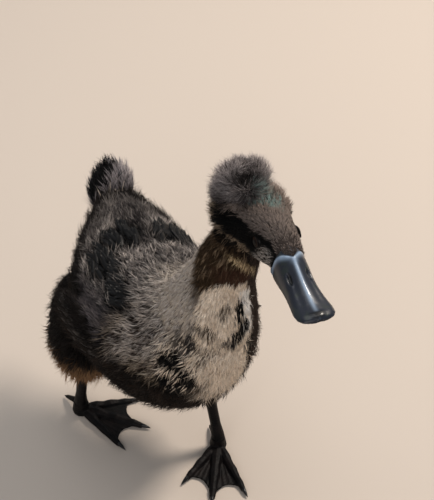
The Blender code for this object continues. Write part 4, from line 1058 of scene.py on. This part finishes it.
eyeLook = {"radius": 0.0050, "opening": 0.0036, "lid": 0.00055}
eyeMaterial, eyeTree, eyeShader = newMaterial("wet eye")  # clear cornea over the iris
eyeColour = addNode(eyeTree, "ShaderNodeAttribute", attribute_name="coatColour")
eyeTree.links.new(eyeColour.outputs["Color"], eyeShader.inputs["Base Color"])
eyeShader.inputs["Roughness"].default_value = 0.30
eyeShader.inputs["Specular IOR Level"].default_value = 0.06
eyeShader.inputs["Coat Weight"].default_value = 0.14
eyeShader.inputs["Coat Roughness"].default_value = 0.02
lidMaterial, lidTree, lidShader = newMaterial("bare eyelid skin")  # dark leathery rim
lidShader.inputs["Base Color"].default_value = (*linear("#0d0b0a"), 1)
lidShader.inputs["Roughness"].default_value = 0.55
lidShader.inputs["Specular IOR Level"].default_value = 0.12

for name, side in (("eye_left", 1), ("eye_right", -1)):
    low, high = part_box(name)
    middle = (low + high) / 2
    out = headWay(side, 0.18, 0.10)
    turn = out.to_track_quat("Z", "Y").to_matrix().to_4x4()
    bpy.ops.object.select_all(action="DESELECT")
    bpy.ops.mesh.primitive_uv_sphere_add(segments=40, ring_count=28, radius=eyeLook["radius"])
    eye = bpy.context.view_layer.objects.active
    eye.name = name.replace("_", "") + "Ball"
    eye.data.transform(Matrix.Translation(middle) @ turn)
    off = np.degrees(np.arccos(np.clip(unit(coordinates(eye) - np.array(middle)) @ np.array(out), -1, 1)))
    iris = smoothStep(24, 28, off) * smoothStep(50, 44, off)
    colours = linear("#020202") + (linear("#23130a") - linear("#020202")) * iris[:, None]
    paintPoints(eye, colours)
    shadeSmooth(eye)
    eye.data.materials.append(eyeMaterial)
    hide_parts(name)
    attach(eye, "root")
    bpy.ops.mesh.primitive_torus_add(major_radius=eyeLook["opening"], minor_radius=eyeLook["lid"], major_segments=48,
                                     minor_segments=10)
    lid = bpy.context.view_layer.objects.active
    lid.name = name.replace("_", "") + "Lid"
    depth = math.sqrt(eyeLook["radius"] ** 2 - eyeLook["opening"] ** 2)
    ahead = headWay(0, 1, 0)
    flat = Matrix((ahead, out.cross(ahead).normalized(), out)).transposed().to_4x4()
    lid.data.transform(Matrix.Translation(middle + out * depth) @ flat @ Matrix.Diagonal((1.08, 0.90, 1.0, 1)))
    shadeSmooth(lid)
    lid.data.materials.append(lidMaterial)
    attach(lid, "root")

# legs and feet: scaled dark skin

legMaterial, legTree, legShader = newMaterial("scaled leg skin")  # dry reticulate scales, dusty brown over slate
legPlace = addNode(legTree, "ShaderNodeTexCoord")
legScale = addNode(legTree, "ShaderNodeTexVoronoi", {"Vector": legPlace.outputs["Object"]}, {"Scale": 650.0})
legNoise = addNode(legTree, "ShaderNodeTexNoise", {"Vector": legPlace.outputs["Object"]}, {"Scale": 90.0, "Detail": 4.0})
legTint = addNode(legTree, "ShaderNodeValToRGB", {"Fac": legNoise.outputs["Fac"]})
legTint.color_ramp.elements[0].position = 0.40
legTint.color_ramp.elements[0].color = (*linear("#040405"), 1)
legTint.color_ramp.elements[1].position = 0.80
legTint.color_ramp.elements[1].color = (*linear("#1b1514"), 1)
legTree.links.new(legTint.outputs["Color"], legShader.inputs["Base Color"])
legBump = addNode(legTree, "ShaderNodeBump", {"Height": legScale.outputs["Distance"]}, {"Strength": 0.4, "Distance": 0.0005})
legBands = addNode(legTree, "ShaderNodeTexWave", {"Vector": legPlace.outputs["Object"]},
                   {"Scale": 143.0, "Distortion": 1.5, "Detail": 2.0}, bands_direction="Z")  # a scute every 2.2 mm
legScutes = addNode(legTree, "ShaderNodeBump", {"Height": legBands.outputs["Fac"], "Normal": legBump.outputs["Normal"]},
                    {"Strength": 0.25, "Distance": 0.0004})
legTree.links.new(legScutes.outputs["Normal"], legShader.inputs["Normal"])
legShader.inputs["Roughness"].default_value = 0.55
legShader.inputs["Specular IOR Level"].default_value = 0.12
for name in ("shank_left", "shank_right"):
    smoothCopy(name, name.replace("_", "") + "Skin", 0.0005, 2, legMaterial)

footLook = {
    "toes": ((-32.0, 0.041), (-1.0, 0.052), (28.0, 0.048)),  # degrees off the foot's heading, length
    "soles": {"left": (1, 0.0387, -0.0111, 29.0), "right": (-1, -0.0453, 0.0669, 45.0)},  # side, x, y, turned in
    "clawLength": 0.0072, "clawRadius": 0.0019, "around": 12,
}


def makeClaws(side, x, y, turnedIn):  # three curved horn cones, one over the end of each toe
    rings = ((-0.15, 1.0), (0.05, 1.0), (0.35, 0.84), (0.65, 0.55), (0.88, 0.26))
    count = footLook["around"]
    points, faces = [], []
    for degrees, length in footLook["toes"]:
        start = len(points)
        heading = math.radians(degrees) * side
        way = Matrix.Rotation(-side * math.radians(turnedIn), 3, "Z") @ Vector((math.sin(heading), -math.cos(heading), 0))
        across = Vector((-way.y, way.x, 0))
        for share, grow in rings:
            centre = Vector((x, y, 0.0024 - 0.0007 * share ** 2)) + way * (length + footLook["clawLength"] * share)
            for k in range(count):
                turn = 2 * math.pi * k / count
                size = footLook["clawRadius"] * grow
                points.append(centre + across * math.cos(turn) * size * 0.85 + Vector((0, 0, math.sin(turn) * size)))
        points.append(Vector((x, y, 0.0012)) + way * (length + footLook["clawLength"]))
        points.append(Vector((x, y, 0.0024)) + way * (length - footLook["clawLength"] * 0.15))
        for i in range(len(rings) - 1):
            for k in range(count):
                a, b = start + i * count + k, start + i * count + (k + 1) % count
                faces += [(a, b, b + count), (a, b + count, a + count)]
        last = start + (len(rings) - 1) * count
        for k in range(count):
            faces += [(last + k, last + (k + 1) % count, last + count), (start + (k + 1) % count, start + k, last + count + 1)]
    return np.array(points), np.array(faces), np.tile(horn["nail"], (len(points), 1))


for name, (side, x, y, turnedIn) in footLook["soles"].items():
    foot = smoothCopy("foot_" + name, "foot" + name + "Skin", 0.0005, 2, legMaterial)
    footPoints, footNormals = coordinates(foot), vertexNormals(foot)
    away = footPoints[:, :2] - np.array((x, y))
    web = (footNormals[:, 2] > 0.6) * smoothStep(0.0042, 0.0032, footPoints[:, 2])
    folds = np.sin(np.arctan2(away[:, 0], -away[:, 1]) * 55) * smoothStep(0.010, 0.025, np.hypot(away[:, 0], away[:, 1]))
    footPoints[:, 2] += 0.00012 * folds * web  # the web's fine radial folds
    setCoordinates(foot, footPoints)
    meshFrom("claws" + name, *makeClaws(side, x, y, turnedIn), None, billMaterial, "leg_skin")

# floor, light and camera

floorLook = {"size": 6.0, "colour": "#c6bbb0"}
bpy.ops.object.select_all(action="DESELECT")
bpy.ops.mesh.primitive_plane_add(size=floorLook["size"])
floor = bpy.context.view_layer.objects.active
floor.name = "studioFloor"
floorMaterial, floorTree, floorShader = newMaterial("pale studio floor")
floorShader.inputs["Base Color"].default_value = (*linear(floorLook["colour"]), 1)
floorShader.inputs["Roughness"].default_value = 0.9
floor.data.materials.append(floorMaterial)

studio = {
    # place, size, watts, colour
    "key": ((1.15, 0.35, 1.65), 0.45, 36.0, "#fff3e6"),
    "fill": ((-1.3, -1.5, 1.2), 1.6, 14.0, "#f6f1ed"),
    "top": ((-0.2, 0.3, 2.0), 1.2, 8.0, "#ffffff"),
}
for name, (place, size, watts, colour) in studio.items():
    lamp = bpy.data.lights.new(name, "AREA")
    lamp.size = size
    lamp.energy = watts
    lamp.color = linear(colour)
    stand = bpy.data.objects.new(name, lamp)
    bpy.context.scene.collection.objects.link(stand)
    stand.location = place
    stand.rotation_euler = (Vector((0.02, -0.02, 0.15)) - Vector(place)).to_track_quat("-Z", "Y").to_euler()

world = bpy.data.worlds.new("studio")
world.use_nodes = True
world.node_tree.nodes["Background"].inputs["Color"].default_value = (*linear("#e6ebf2"), 1)
world.node_tree.nodes["Background"].inputs["Strength"].default_value = 0.35
bpy.context.scene.world = world
bpy.context.scene.view_settings.view_transform = "Standard"

cameraLook = {"place": (-0.27075, -0.67280, 0.94740), "aim": (0.07470, 0.06802, 0.13000), "lens": 108.938}
camera = bpy.data.cameras.new("camera")
camera.lens = cameraLook["lens"]
camera.sensor_width = 36
camera.clip_start = 0.01
cameraStand = bpy.data.objects.new("camera", camera)
bpy.context.scene.collection.objects.link(cameraStand)
cameraStand.location = cameraLook["place"]
cameraStand.rotation_euler = (Vector(cameraLook["aim"]) - Vector(cameraLook["place"])).to_track_quat("-Z", "Y").to_euler()
bpy.context.scene.camera = cameraStand
